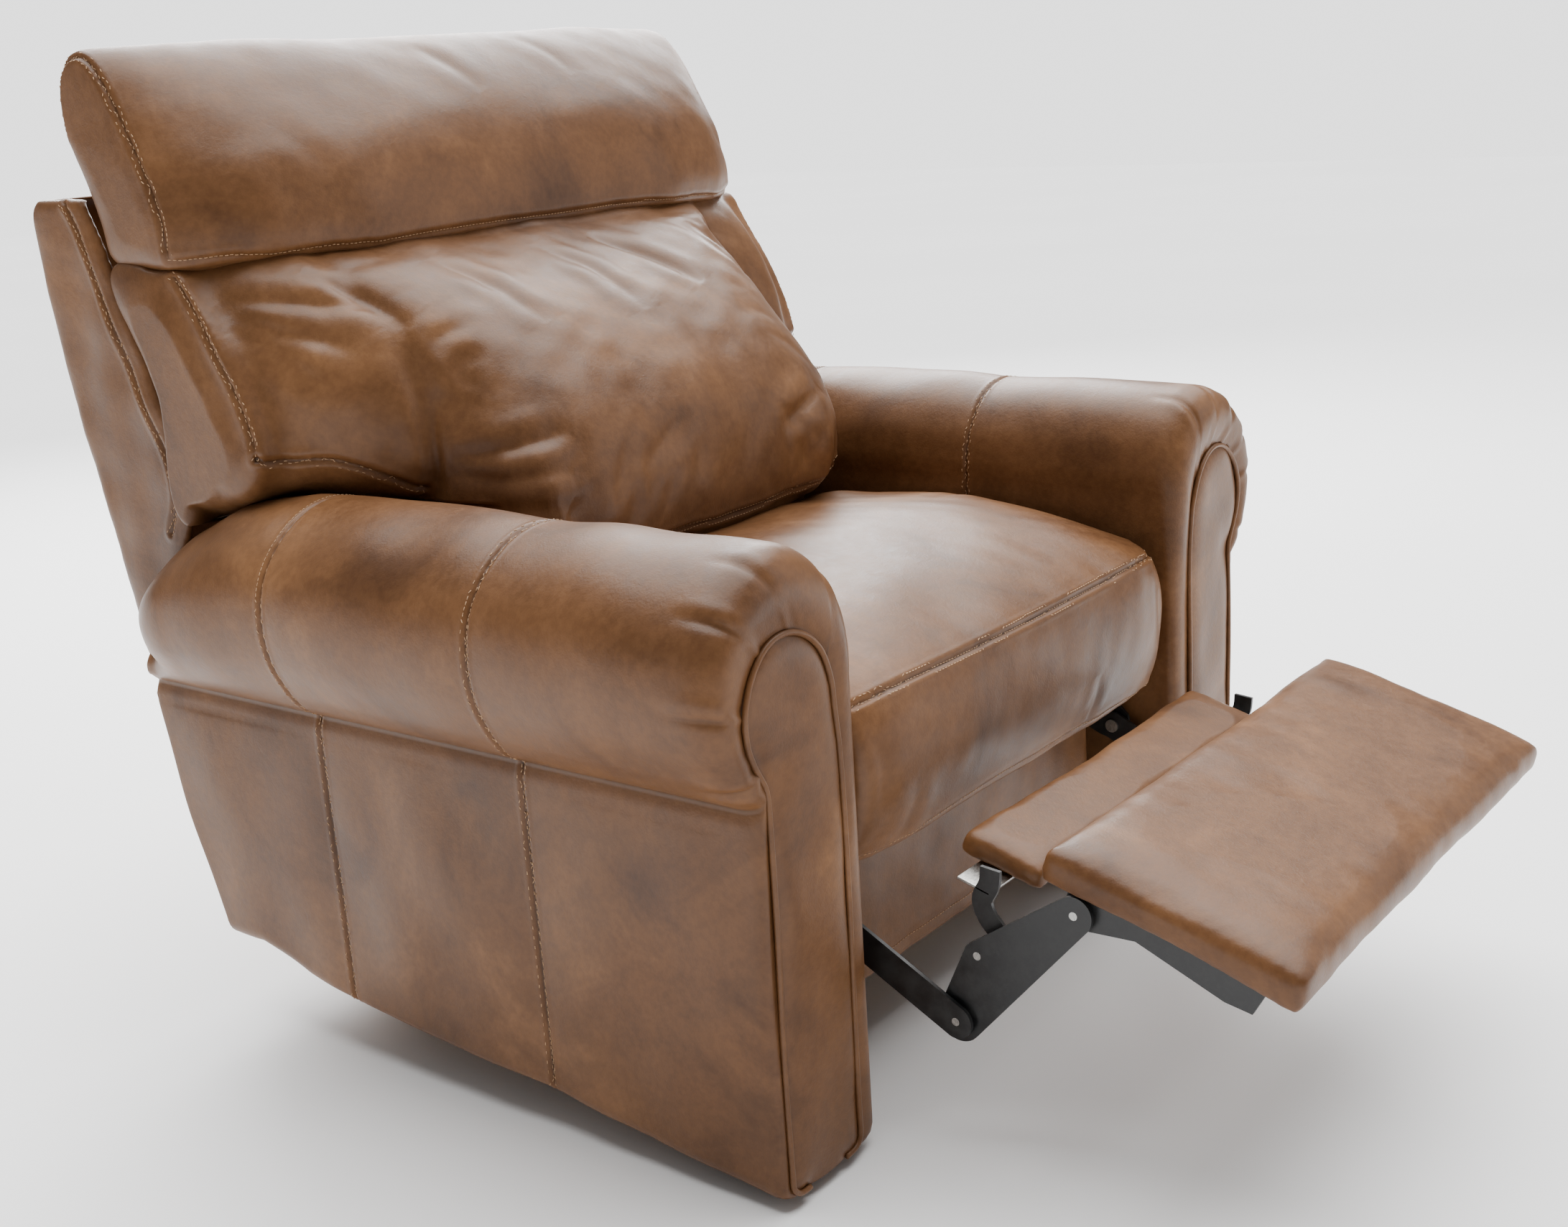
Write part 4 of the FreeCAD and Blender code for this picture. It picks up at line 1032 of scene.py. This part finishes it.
PILLOW = [(718, 436), (560, 436), (520, 450), (510, 490), (440, 504), (402, 517), (382, 538),
          (376, 564), (386, 602), (410, 647), (456, 704), (514, 757), (578, 800), (636, 834),
          (704, 850), (788, 846), (764, 660), (738, 530)]
NEAR_INNER = [(748, 576), (700, 581), (650, 586), (610, 589), (578, 591), (558, 593), (543, 597),
              (534, 608), (528, 627), (526, 657), (538, 705), (570, 757), (616, 800), (664, 834),
              (708, 850), (788, 846), (773, 720), (757, 640)]
NEAR_MIDDLE = [(757, 578), (722, 587), (692, 596), (664, 606), (640, 612), (620, 616), (604, 624),
               (594, 639), (588, 661), (590, 690), (603, 722), (628, 762), (660, 800), (694, 832),
               (724, 848), (790, 846), (776, 740), (764, 660)]
FAR_INNER = [(748, 578), (712, 583), (684, 588), (662, 593), (646, 598), (630, 604), (618, 612),
             (612, 623), (610, 641), (611, 661), (620, 705), (638, 757), (660, 802), (684, 834),
             (714, 850), (788, 846), (773, 720), (757, 640)]
FAR_MIDDLE = [(757, 592), (728, 597), (702, 603), (680, 608), (661, 612), (640, 616), (622, 622),
              (613, 633), (608, 649), (610, 669), (622, 710), (642, 760), (666, 802), (694, 832),
              (724, 848), (790, 846), (776, 740), (764, 660)]
EAR_END = [(784, 566), (752, 577), (724, 586), (699, 595), (677, 602), (660, 610), (648, 624),
           (639, 640), (634, 656), (638, 676), (652, 712), (672, 757), (698, 796), (722, 826),
           (742, 846), (850, 846), (818, 745), (800, 680)]


def pillow():
    rounded = moved(PILLOW, {number: (14, 0) for number in range(4, 12)})
    tight = moved(PILLOW, {4: (26, 6), 5: (34, 8), 6: (38, 6), 7: (40, 2), 8: (38, 0), 9: (34, 0),
                           10: (28, 0), 11: (20, 0), 12: (12, 0), 13: (8, 0)})
    far_rounded = moved(PILLOW, {4: (18, 0), 5: (32, 2), 6: (44, 2), 7: (52, 0), 8: (56, 0), 9: (56, 0),
                                 10: (48, 0), 11: (36, 0), 12: (18, 0)})
    far_tight = moved(PILLOW, {4: (54, 4), 5: (78, 2), 6: (98, -2), 7: (124, 0), 8: (148, 0), 9: (160, 0),
                               10: (146, 0), 11: (110, 0), 12: (66, 0), 13: (26, 0)})
    far_edge = moved(PILLOW, {3: (8, 4), 4: (66, 6), 5: (100, -2), 6: (124, -6), 7: (150, 0), 8: (182, 0),
                              9: (200, -2), 10: (184, 0), 11: (146, 0), 12: (98, 0), 13: (46, 0)})
    near_behind = moved(EAR_END, {0: (-20, 10), 15: (-60, 0), 16: (-42, 0), 17: (-32, 0)})
    stations = [(-463.0, inset(EAR_END, 8.0)), (-456.0, EAR_END), (-440.0, EAR_END), (-434.0, near_behind),
                (-400.0, NEAR_MIDDLE), (-345.0, NEAR_INNER), (-323.0, NEAR_INNER),
                (-313.0, inset(tight, 6.0)),
                (-309.0, tight), (-286.0, rounded), (-220.0, PILLOW), (180.0, PILLOW), (262.0, far_rounded),
                (300.0, far_tight), (313.0, far_edge), (323.0, FAR_INNER), (345.0, FAR_INNER),
                (400.0, FAR_MIDDLE), (434.0, near_behind), (440.0, EAR_END), (456.0, EAR_END),
                (463.0, inset(EAR_END, 8.0))]
    piece = cushion("back_pillow", stations, "back", step=6.0, samples=190)
    remesh(piece)
    return piece


BOLSTER = [(735, 846), (690, 842), (664, 847), (657, 868), (661, 902), (674, 937), (701, 972),
           (740, 1012), (779, 1045), (817, 1066), (857, 1072), (884, 1057), (898, 1028), (899, 990),
           (891, 950), (880, 915), (868, 876), (852, 842)]
BOLSTER_SIDE = [(765, 838), (752, 838), (742, 846), (741, 868), (746, 902), (757, 937), (774, 970),
                (797, 1010), (816, 1040), (836, 1060), (860, 1068), (883, 1055), (896, 1027),
                (895, 990), (884, 950), (873, 915), (862, 876), (850, 842)]


def between(first, second, share):
    return np.array(first) * (1.0 - share) + np.array(second) * share


def bolster():
    stations = [(0.0, BOLSTER), (250.0, BOLSTER), (370.0, between(BOLSTER, BOLSTER_SIDE, 0.25)),
                (430.0, between(BOLSTER, BOLSTER_SIDE, 0.68)),
                (452.0, between(BOLSTER, BOLSTER_SIDE, 0.95)),
                (458.0, BOLSTER_SIDE), (462.0, inset(BOLSTER_SIDE, 6.0))]
    piece = cushion("head_pillow", stations, "back")
    remesh(piece)
    return piece


PILLOW_SIDE_SEAM = [(458, 742, 836), (463, 712, 800), (464, 672, 735), (463, 650, 690), (462, 640, 652)]
PILLOW_ARCH_SEAM = [(462, 640, 652), (440, 625, 644), (400, 592, 642), (360, 550, 618), (335, 530, 603)]
FAR_ARCH_SEAM = [(462, 640, 652), (440, 630, 646), (400, 614, 634), (360, 612, 626), (335, 612, 622)]
PILLOW_FOOT_SEAM = [(-300, 406, 512), (-200, 392, 514), (0, 386, 513), (200, 392, 514), (300, 406, 512)]
PILLOW_TOP_SEAM = [(-455, 738, 842), (-400, 700, 842), (-250, 652, 842), (0, 646, 842), (250, 652, 842),
                   (400, 700, 842), (455, 738, 842)]
BOLSTER_SIDE_SEAM = [(457, 746, 858), (461, 750, 906), (461, 778, 970), (460, 816, 1036), (456, 846, 1058),
                     (457, 880, 1048), (458, 893, 1020), (458, 890, 980)]
BOLSTER_FOOT_SEAM = [(-452, 748, 853), (-400, 706, 853), (-250, 668, 853), (0, 662, 853), (250, 668, 853),
                     (400, 706, 853), (452, 748, 853)]


PILLOW_HALF = 296.0        # the middle of the pillow is held to this half width on its far side


def finish_pillow(piece):
    lay = settle(piece, (0.0016, 0.16, 41), (0.00025, 0.05, 42))
    creases(piece, [
        [(-440, 700, 815), (-380, 640, 800), (-320, 590, 785)],
        [(-445, 700, 805), (-400, 640, 770), (-350, 590, 740)],
        [(-445, 690, 790), (-420, 630, 750), (-390, 600, 715)],
        [(-360, 660, 830), (-330, 610, 800), (-300, 560, 760)],
        [(-220, 620, 825), (-190, 560, 790), (-170, 510, 740)],
        [(-60, 620, 826), (-30, 560, 790), (-20, 500, 735)],
        [(40, 625, 828), (80, 570, 800), (110, 520, 750)],
        [(180, 630, 828), (210, 580, 800), (250, 540, 760)],
        [(336, 604, 640), (326, 596, 690), (318, 590, 745)],
        [(330, 606, 660), (316, 585, 700), (296, 560, 735)],
        [(310, 470, 640), (290, 440, 660), (250, 430, 680)],
        [(-330, 500, 640), (-290, 440, 645), (-230, 420, 655)],
        [(-335, 510, 625), (-300, 440, 615), (-250, 405, 615)],
        [(-320, 480, 600), (-290, 430, 585), (-240, 395, 580)],
        [(200, 400, 640), (150, 395, 620), (90, 395, 600)],
        [(-160, 395, 600), (-120, 390, 620), (-60, 400, 650)]], depth=0.0045, width=0.010)
    keep_between(piece, 0, low=-314.0, high=314.0,
                 where=lambda p: (p[:, 2] < 572.0) | ((p[:, 2] < 590.0) & (p[:, 1] < 600.0)))
    keep_between(piece, 0, low=-470.0, high=470.0)
    points = unplace(coordinates(piece))
    wide = (points[:, 0] > PILLOW_HALF) & (points[:, 1] < 604.0) & (points[:, 2] < 720.0)
    points[wide, 0] = PILLOW_HALF + 20.0 * np.tanh((points[wide, 0] - PILLOW_HALF) / 20.0)
    set_coordinates(piece, place(points))
    keep_between(piece, 2, low=501.0, where=lambda p: (p[:, 1] < 503.0) & (p[:, 2] < 520.0))
    keep_between(piece, 1, low=497.0, where=lambda p: p[:, 2] < 496.0)
    for name, flip in (("R", list), ("L", mirrored)):
        sewn_seam("pillow_side_stitches_" + name, piece, lay(flip(PILLOW_SIDE_SEAM)), "back",
                  TWIN, 0.0034, 0.0026, 0.0006)
        arch = FAR_ARCH_SEAM if name == "R" else PILLOW_ARCH_SEAM
        sewn_seam("pillow_arch_stitches_" + name, piece, lay(flip(arch)), "back",
                  (0.005,) if name == "R" else (-0.005,), 0.0035, 0.003, 0.001)
    sewn_seam("pillow_foot_stitches", piece, lay(PILLOW_FOOT_SEAM), "back", WIDE_TWIN, 0.003, 0.003, 0.001)
    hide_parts("back_cushion")


def finish_bolster(piece):
    lay = settle(piece, (0.0010, 0.18, 51), (0.00015, 0.05, 52))
    creases(piece, [[(-60, 790, 1055), (-30, 750, 1030), (-10, 720, 1000)],
                    [(120, 800, 1058), (150, 760, 1035), (160, 735, 1010)],
                    [(-330, 700, 985), (-300, 680, 950), (-290, 672, 915)],
                    [(445, 740, 900), (420, 715, 912), (390, 700, 930)]], depth=0.0015, width=0.011)
    keep_between(piece, 0, low=-463.0, high=463.0)
    for name, flip in (("R", list), ("L", mirrored)):
        sewn_seam("bolster_side_stitches_" + name, piece, lay(flip(BOLSTER_SIDE_SEAM)), "back",
                  TWIN, 0.0034, 0.0026, 0.0006)
    sewn_seam("bolster_foot_stitches", piece, lay(BOLSTER_FOOT_SEAM), "back", (0.001,),
              0.002, 0.003, 0.0008)
    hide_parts("head_bolster")


# ---- outer back and the lower panels ----------------------------------------------------------------

SHELL_REAR = [(432.0, 893.0), (585.0, 927.0), (711.0, 959.0), (860.0, 979.0), (915.0, 983.0)]
SHELL_EDGE = [(432.0, 862.0), (560.0, 778.0), (622.0, 761.0), (730.0, 806.0), (876.0, 864.0),
              (915.0, 886.0)]


def outer_back():
    """The covered rear shell: a broad panel that wraps forward round both sides."""
    levels = list(np.arange(432.0, 921.0, 7.0))
    outer_half, wall, corner = 461.0, 13.0, 10.0
    rings = []
    for z in levels:
        rear, edge = (float(np.interp(z, *zip(*line))) for line in (SHELL_REAR, SHELL_EDGE))
        if z > 885.0:
            rear -= 22.0 * (1.0 - math.sqrt(max(0.0, 1.0 - ((z - 885.0) / 31.0) ** 2)))
        out = [(outer_half, edge), (outer_half, rear - corner)]
        out += [(outer_half - corner + corner * math.cos(a), rear - corner + corner * math.sin(a))
                for a in np.radians([20.0, 45.0, 70.0])]
        out += [(x, rear) for x in (outer_half - corner, 330.0, 200.0, 70.0)]
        inner = [(x, rear - wall) for x in (70.0, 200.0, 330.0)]
        inner += [(outer_half - corner, rear - wall), (outer_half - wall, rear - corner),
                  (outer_half - wall, edge)]
        loop_points = out + [(-x, y) for x, y in out[::-1]] + [(-x, y) for x, y in inner[::-1]] + inner
        rings.append([(x, y, z) for x, y in loop_points])
        count = len(loop_points)
    vertices = [point for ring in rings for point in ring]
    faces = grid_faces(len(rings), count, close_columns=True)
    half = count // 2
    for first, flip in ((0, 1), ((len(rings) - 1) * count, -1)):
        for n in range(half - 1):
            far = first + count - 1 - n
            faces.append((first + n, first + n + 1, far - 1, far)[::flip])
    piece = make_object("outer_back", place(vertices), faces, MATERIALS["leather"], "back")
    clean(piece)
    remesh(piece, 0.0055, 5)
    points = unplace(coordinates(piece))
    rear = np.interp(points[:, 2], *zip(*SHELL_REAR))
    flat = np.clip((points[:, 1] - rear + 6.0) / 6.0, 0.0, 1.0)
    dome = flat * swell(points[:, 0], -450.0, 450.0) * swell(points[:, 2], 432.0, 905.0)
    points[:, 1] += dome * (6.0 + 1.5 * ripple(points * MM, 0.16, 61))
    side = np.clip((np.abs(points[:, 0]) - 455.0) / 5.0, 0.0, 1.0)
    points[:, 0] += np.sign(points[:, 0]) * side * 1.2 * ripple(points * MM, 0.09, 62)
    set_coordinates(piece, place(points))
    refine(piece)
    for name, sign in (("L", -1.0), ("R", 1.0)):
        band = place([(sign * outer_half, y + 27.0, z) for z, y in SHELL_EDGE[1:]])
        sewn_seam("outer_back_stitches_" + name, piece, smooth_path(band, 0.004), "back",
                  WIDE_TWIN, 0.0032, 0.0026, 0.001)
        corner_line = place([(sign * (outer_half - 30.0), y, z) for z, y in SHELL_REAR])
        sewn_seam("outer_back_corner_stitches_" + name, piece, smooth_path(corner_line, 0.004), "back",
                  (0.005 * sign,), 0.0028, 0.0026, 0.001)
    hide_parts("outer_back_panel", "back_side_band_L", "back_side_band_R")


def curtain(name, node, body, half, line, thickness, waves, outward, seed):
    """A thin leather panel down a line of (y, z) points, with soft vertical waves and a sewn hem.

    outward is 1 where its good side faces rearwards and -1 where it faces forwards.
    """
    path = smooth_path([(0.0, y, z) for y, z in line], 5.0)
    xs = np.linspace(-half, half, int(2 * half / 5.0))
    across = np.array([(0.0, a[2] - b[2], b[1] - a[1]) for a, b in zip(path, path[1:])])
    across = np.vstack([across, across[-1:]])
    across /= np.linalg.norm(across, axis=1)[:, None]
    sheets = []
    for side in (0.5, -0.5):
        for point, normal in zip(path, across):
            wave = waves * np.sin(xs / 38.0 + 0.4 * math.sin(point[2] / 60.0)) * np.cos(xs / 91.0)
            ease = np.clip(np.abs(point[2] - path[0][2]) / 120.0, 0.0, 1.0)
            edge = np.clip((half - np.abs(xs)) / 8.0, 0.0, 1.0) ** 0.5
            offset = wave * ease + thickness * side * edge
            sheets.append([(x, point[1] + normal[1] * o, point[2] + normal[2] * o)
                           for x, o in zip(xs, offset)])
    rows, columns = len(path), len(xs)
    vertices, size = [p for row in sheets for p in row], rows * columns
    faces = grid_faces(rows, columns)
    faces += [tuple(n + size for n in face[::-1]) for face in faces]
    rim = list(range(columns)) + [r * columns + columns - 1 for r in range(1, rows)]
    rim += [(rows - 1) * columns + c for c in reversed(range(columns - 1))]
    rim += [r * columns for r in reversed(range(1, rows - 1))]
    for a, b in zip(rim, rim[1:] + rim[:1]):
        faces.append((b, a, a + size, b + size))
    piece = make_object(name, place(vertices), faces, MATERIALS["leather"], body)
    clean(piece, 0.00001)
    push(piece, 0.0005 * ripple(coordinates(piece), 0.06, seed))
    y, z = line[-1]
    hem_y, hem_z = line[-2][0] + (y - line[-2][0]) * 0.9 + 14.0 * outward, z + 14.0
    path = resample(place([(-half + 8.0, hem_y, hem_z), (half - 8.0, hem_y, hem_z)]), 0.01)
    path = Surface(piece).lay(path)[0]
    sewn_seam(name + "_stitches", piece, path, body, (0.0,), 0.0004, 0.003)
    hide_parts(node)


def lower_panels():
    curtain("back_curtain", "back_skirt", "back", 312.0, [(889.0, 436.0), (884.0, 350.0), (881.0, 266.0)],
            5.0, 2.2, 1.0, 71)
    curtain("seat_front_apron", "seat_apron", "seat", 264.0, [(92.0, 286.0), (91.0, 200.0), (92.0, 104.0)],
            6.0, 1.5, -1.0, 72)
    (_, low_y, low_z), (_, high_y, high_z) = node_box("rear_lower_panel")
    rail_y, rail_z = node_box("base_rail_rear")[1][1] + 4.0, node_box("base_rail_rear")[0][2] - 2.0
    curtain("rear_lower_cover", "rear_lower_panel", "base", 325.0,
            [(high_y - 3.0, high_z - 1.0), ((low_y + high_y) / 2, (low_z + high_z) / 2),
             (low_y + 4.0, low_z + 1.0), (rail_y, low_z - 20.0), (rail_y, rail_z)], 6.0, 0.8, 1.0, 73)


# ---- footrest and flipper ---------------------------------------------------------------------------

SLOPE = math.radians(16.0)
FOOTREST_CORNER, FLIPPER_CORNER = (-186.0, 345.0), (-57.0, 308.5)


def rest_pad(name, body, corner, half, length, thickness, pinch, rise):
    """A stuffed board cover: crowned on top, rounded edges, corners drawn in and down."""
    xs = np.linspace(-1.0, 1.0, int(2 * half / 6.0))
    alongs = np.linspace(-1.0, 1.0, int(length / 6.0))
    layers = np.linspace(-1.0, 1.0, max(5, int(thickness / 5.0)))
    surface_points, index = [], {}

    def number_of(i, j, k):
        if (i, j, k) not in index:
            index[i, j, k] = len(surface_points)
            u, v, w = xs[i], alongs[j], layers[k]
            corner_pull = (abs(u) ** 14) * (abs(v) ** 7)
            x = u * half * (1.0 - 0.012 * (1.0 - v * v)) - math.copysign(pinch * corner_pull, u)
            along = length / 2 * (1.0 + v) - v * (pinch * corner_pull)
            crown = (1.0 - abs(u) ** 9) * (1.0 - abs(v) ** 4)
            depth = thickness * (1.0 - w) / 2
            depth += (1.0 + w) / 2 * (5.0 * (1.0 - crown) + 4.0 * corner_pull - rise * crown)
            y = corner[0] - along * math.cos(SLOPE) + depth * math.sin(SLOPE)
            z = corner[1] - along * math.sin(SLOPE) - depth * math.cos(SLOPE)
            surface_points.append((x, y, z))
        return index[i, j, k]

    faces = []

    def quad(order, *corners):
        faces.append(tuple(number_of(*spot) for spot in corners)[::order])

    ni, nj, nk = len(xs) - 1, len(alongs) - 1, len(layers) - 1
    for i in range(ni):
        for j in range(nj):
            for k, order in ((0, 1), (nk, -1)):
                quad(order, (i, j, k), (i, j + 1, k), (i + 1, j + 1, k), (i + 1, j, k))
    for k in range(nk):
        for i in range(ni):
            for j, order in ((0, 1), (nj, -1)):
                quad(order, (i, j, k), (i + 1, j, k), (i + 1, j, k + 1), (i, j, k + 1))
        for j in range(nj):
            for i, order in ((0, -1), (ni, 1)):
                quad(order, (i, j, k), (i, j + 1, k), (i, j + 1, k + 1), (i, j, k + 1))
    piece = make_object(name, place(surface_points), faces, MATERIALS["leather"], body)
    remesh(piece, 0.0045, 6)
    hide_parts(body + "_pad", body + "_board")
    return piece


def finish_pad(piece, seed, corner, top, bottom):
    """Fine unevenness, then the pad is held between two depths, so that the folded pads pass each other."""
    refine(piece)
    waves(piece, (0.0007, 0.16, seed), (0.0002, 0.05, seed + 1))
    points = unplace(coordinates(piece))
    y, z = points[:, 1] - corner[0], points[:, 2] - corner[1]
    depth = y * math.sin(SLOPE) - z * math.cos(SLOPE)
    shift = np.clip(depth, top, bottom) - depth
    points[:, 1] += shift * math.sin(SLOPE)
    points[:, 2] -= shift * math.cos(SLOPE)
    set_coordinates(piece, place(points))


# ---- mechanism --------------------------------------------------------------------------------------

STRAP_LINE = [(-104.0, 290.0), (-102.0, 274.0), (-94.0, 257.0), (-99.0, 241.0), (-110.0, 227.0),
              (-108.0, 215.0), (-97.0, 207.0)]


def plate(name, outline, inner, outer, sign, body, metal):
    """A flat bar cut to an outline (y, z) between two distances from the middle plane, with eased edges."""
    count = len(outline)
    vertices = [(sign * x, y, z) for x in (inner, outer) for y, z in outline]
    faces = [tuple(range(count))[::-1], tuple(range(count, 2 * count))]
    faces += [(n, (n + 1) % count, (n + 1) % count + count, n + count) for n in range(count)]
    piece = make_object(name, place(vertices), faces, MATERIALS[metal], body)
    clean(piece, 0.00001)
    apply_modifier(piece, "BEVEL", width=0.0008, segments=2)
    for polygon in piece.data.polygons:
        polygon.use_smooth = False
    return piece


def bar_outline(line, width):
    """The outline of a bar of constant width with rounded ends along a line of (y, z) points."""
    path = smooth_path([(0.0, y, z) for y, z in line], 3.0)[:, 1:]
    ahead = np.gradient(path, axis=0)
    ahead /= np.linalg.norm(ahead, axis=1)[:, None]
    side = np.column_stack([-ahead[:, 1], ahead[:, 0]]) * width / 2
    turn = np.radians(np.linspace(15.0, 165.0, 9))[:, None]
    nose = path[-1] + side[-1] * np.cos(turn) + ahead[-1] * width / 2 * np.sin(turn)
    return [tuple(p) for p in np.vstack([path + side, nose, (path - side)[::-1]])]


def under_flipper(along, below):
    """A point (y, z) so far forward along the flipper and so far below its top."""
    y, z = FLIPPER_CORNER
    return (y - along * math.cos(SLOPE) + below * math.sin(SLOPE),
            z - along * math.sin(SLOPE) - below * math.cos(SLOPE))


def mechanism():
    """The bent straps of the flipper with their flanges, and small clips beside the footrest eyelets."""
    for side, sign in (("L", -1.0), ("R", 1.0)):
        strap = plate("flipper_bent_strap_" + side, bar_outline(STRAP_LINE, 21.0), 276.0, 280.0, sign,
                      "flipper", "black_steel")
        flange = [under_flipper(*spot) for spot in ((20.0, 28.2), (56.0, 28.2), (56.0, 31.2), (20.0, 31.2))]
        tab = plate("flipper_flange_" + side, flange, 212.0, 280.0, sign, "flipper", "zinc")
        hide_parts("flipper_strap_" + side)
        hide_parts("flipper_strap_" + side)
        low, high = node_box("footrest_eyelets")
        y, z = (low[1] + high[1]) / 2, (low[2] + high[2]) / 2
        clip = [(y + 4.0, z + 9.0), (y + 22.0, z + 17.0), (y + 19.0, z + 25.0), (y + 1.0, z + 17.0)]
        plate("footrest_clip_" + side, clip, 278.0, 283.6, sign, "footrest", "zinc")


# ---- assembly ---------------------------------------------------------------------------------------

def dress_nodes():
    """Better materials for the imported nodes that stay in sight."""
    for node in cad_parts:
        item = bpy.data.objects[node]
        for number, material in enumerate(item.data.materials):
            slot_name = material.name.split(".")[0] if material else ""
            if slot_name in MATERIALS:
                item.data.materials[number] = MATERIALS[slot_name]


camera()
studio()
dress_nodes()
seat_piece, pillow_piece, bolster_piece = seat(), pillow(), bolster()
foot_piece = rest_pad("footrest_cover", "footrest", FOOTREST_CORNER, 321.0, 246.0, 40.5, -3.0, 4.0)
flip_piece = rest_pad("flipper_cover", "flipper", FLIPPER_CORNER, 247.0, 88.0, 28.5, -2.0, 0.5)


def both(path):
    """A path on each side, in metres."""
    return [place(path), place(mirrored(path))]


seat_seams = [place(SEAT_TOP_SEAM), place(SEAT_FOOT_SEAM)] + both(SEAT_SIDE_SEAM)
pin(seat_piece, seat_seams, 0.010)
pin(pillow_piece, [place(PILLOW_FOOT_SEAM), place(PILLOW_TOP_SEAM)] + both(PILLOW_SIDE_SEAM)
    + [place(FAR_ARCH_SEAM), place(mirrored(PILLOW_ARCH_SEAM))], 0.012)
pin(bolster_piece, [place(BOLSTER_FOOT_SEAM)] + both(BOLSTER_SIDE_SEAM), 0.012)
inflate([seat_piece, pillow_piece, bolster_piece, foot_piece, flip_piece])
calm(seat_piece, seat_seams + both([(316, 24, 276), (317, 10, 360), (315, 22, 440)]), 60)
calm(bolster_piece, [place(BOLSTER_FOOT_SEAM)] + both(BOLSTER_SIDE_SEAM), 20)
finish_seat(seat_piece)
finish_pillow(pillow_piece)
finish_bolster(bolster_piece)
finish_pad(foot_piece, 81, FOOTREST_CORNER, -7.0, 41.0)
finish_pad(flip_piece, 83, FLIPPER_CORNER, -0.5, 29.0)
outer_back()
lower_panels()
mechanism()
arms()
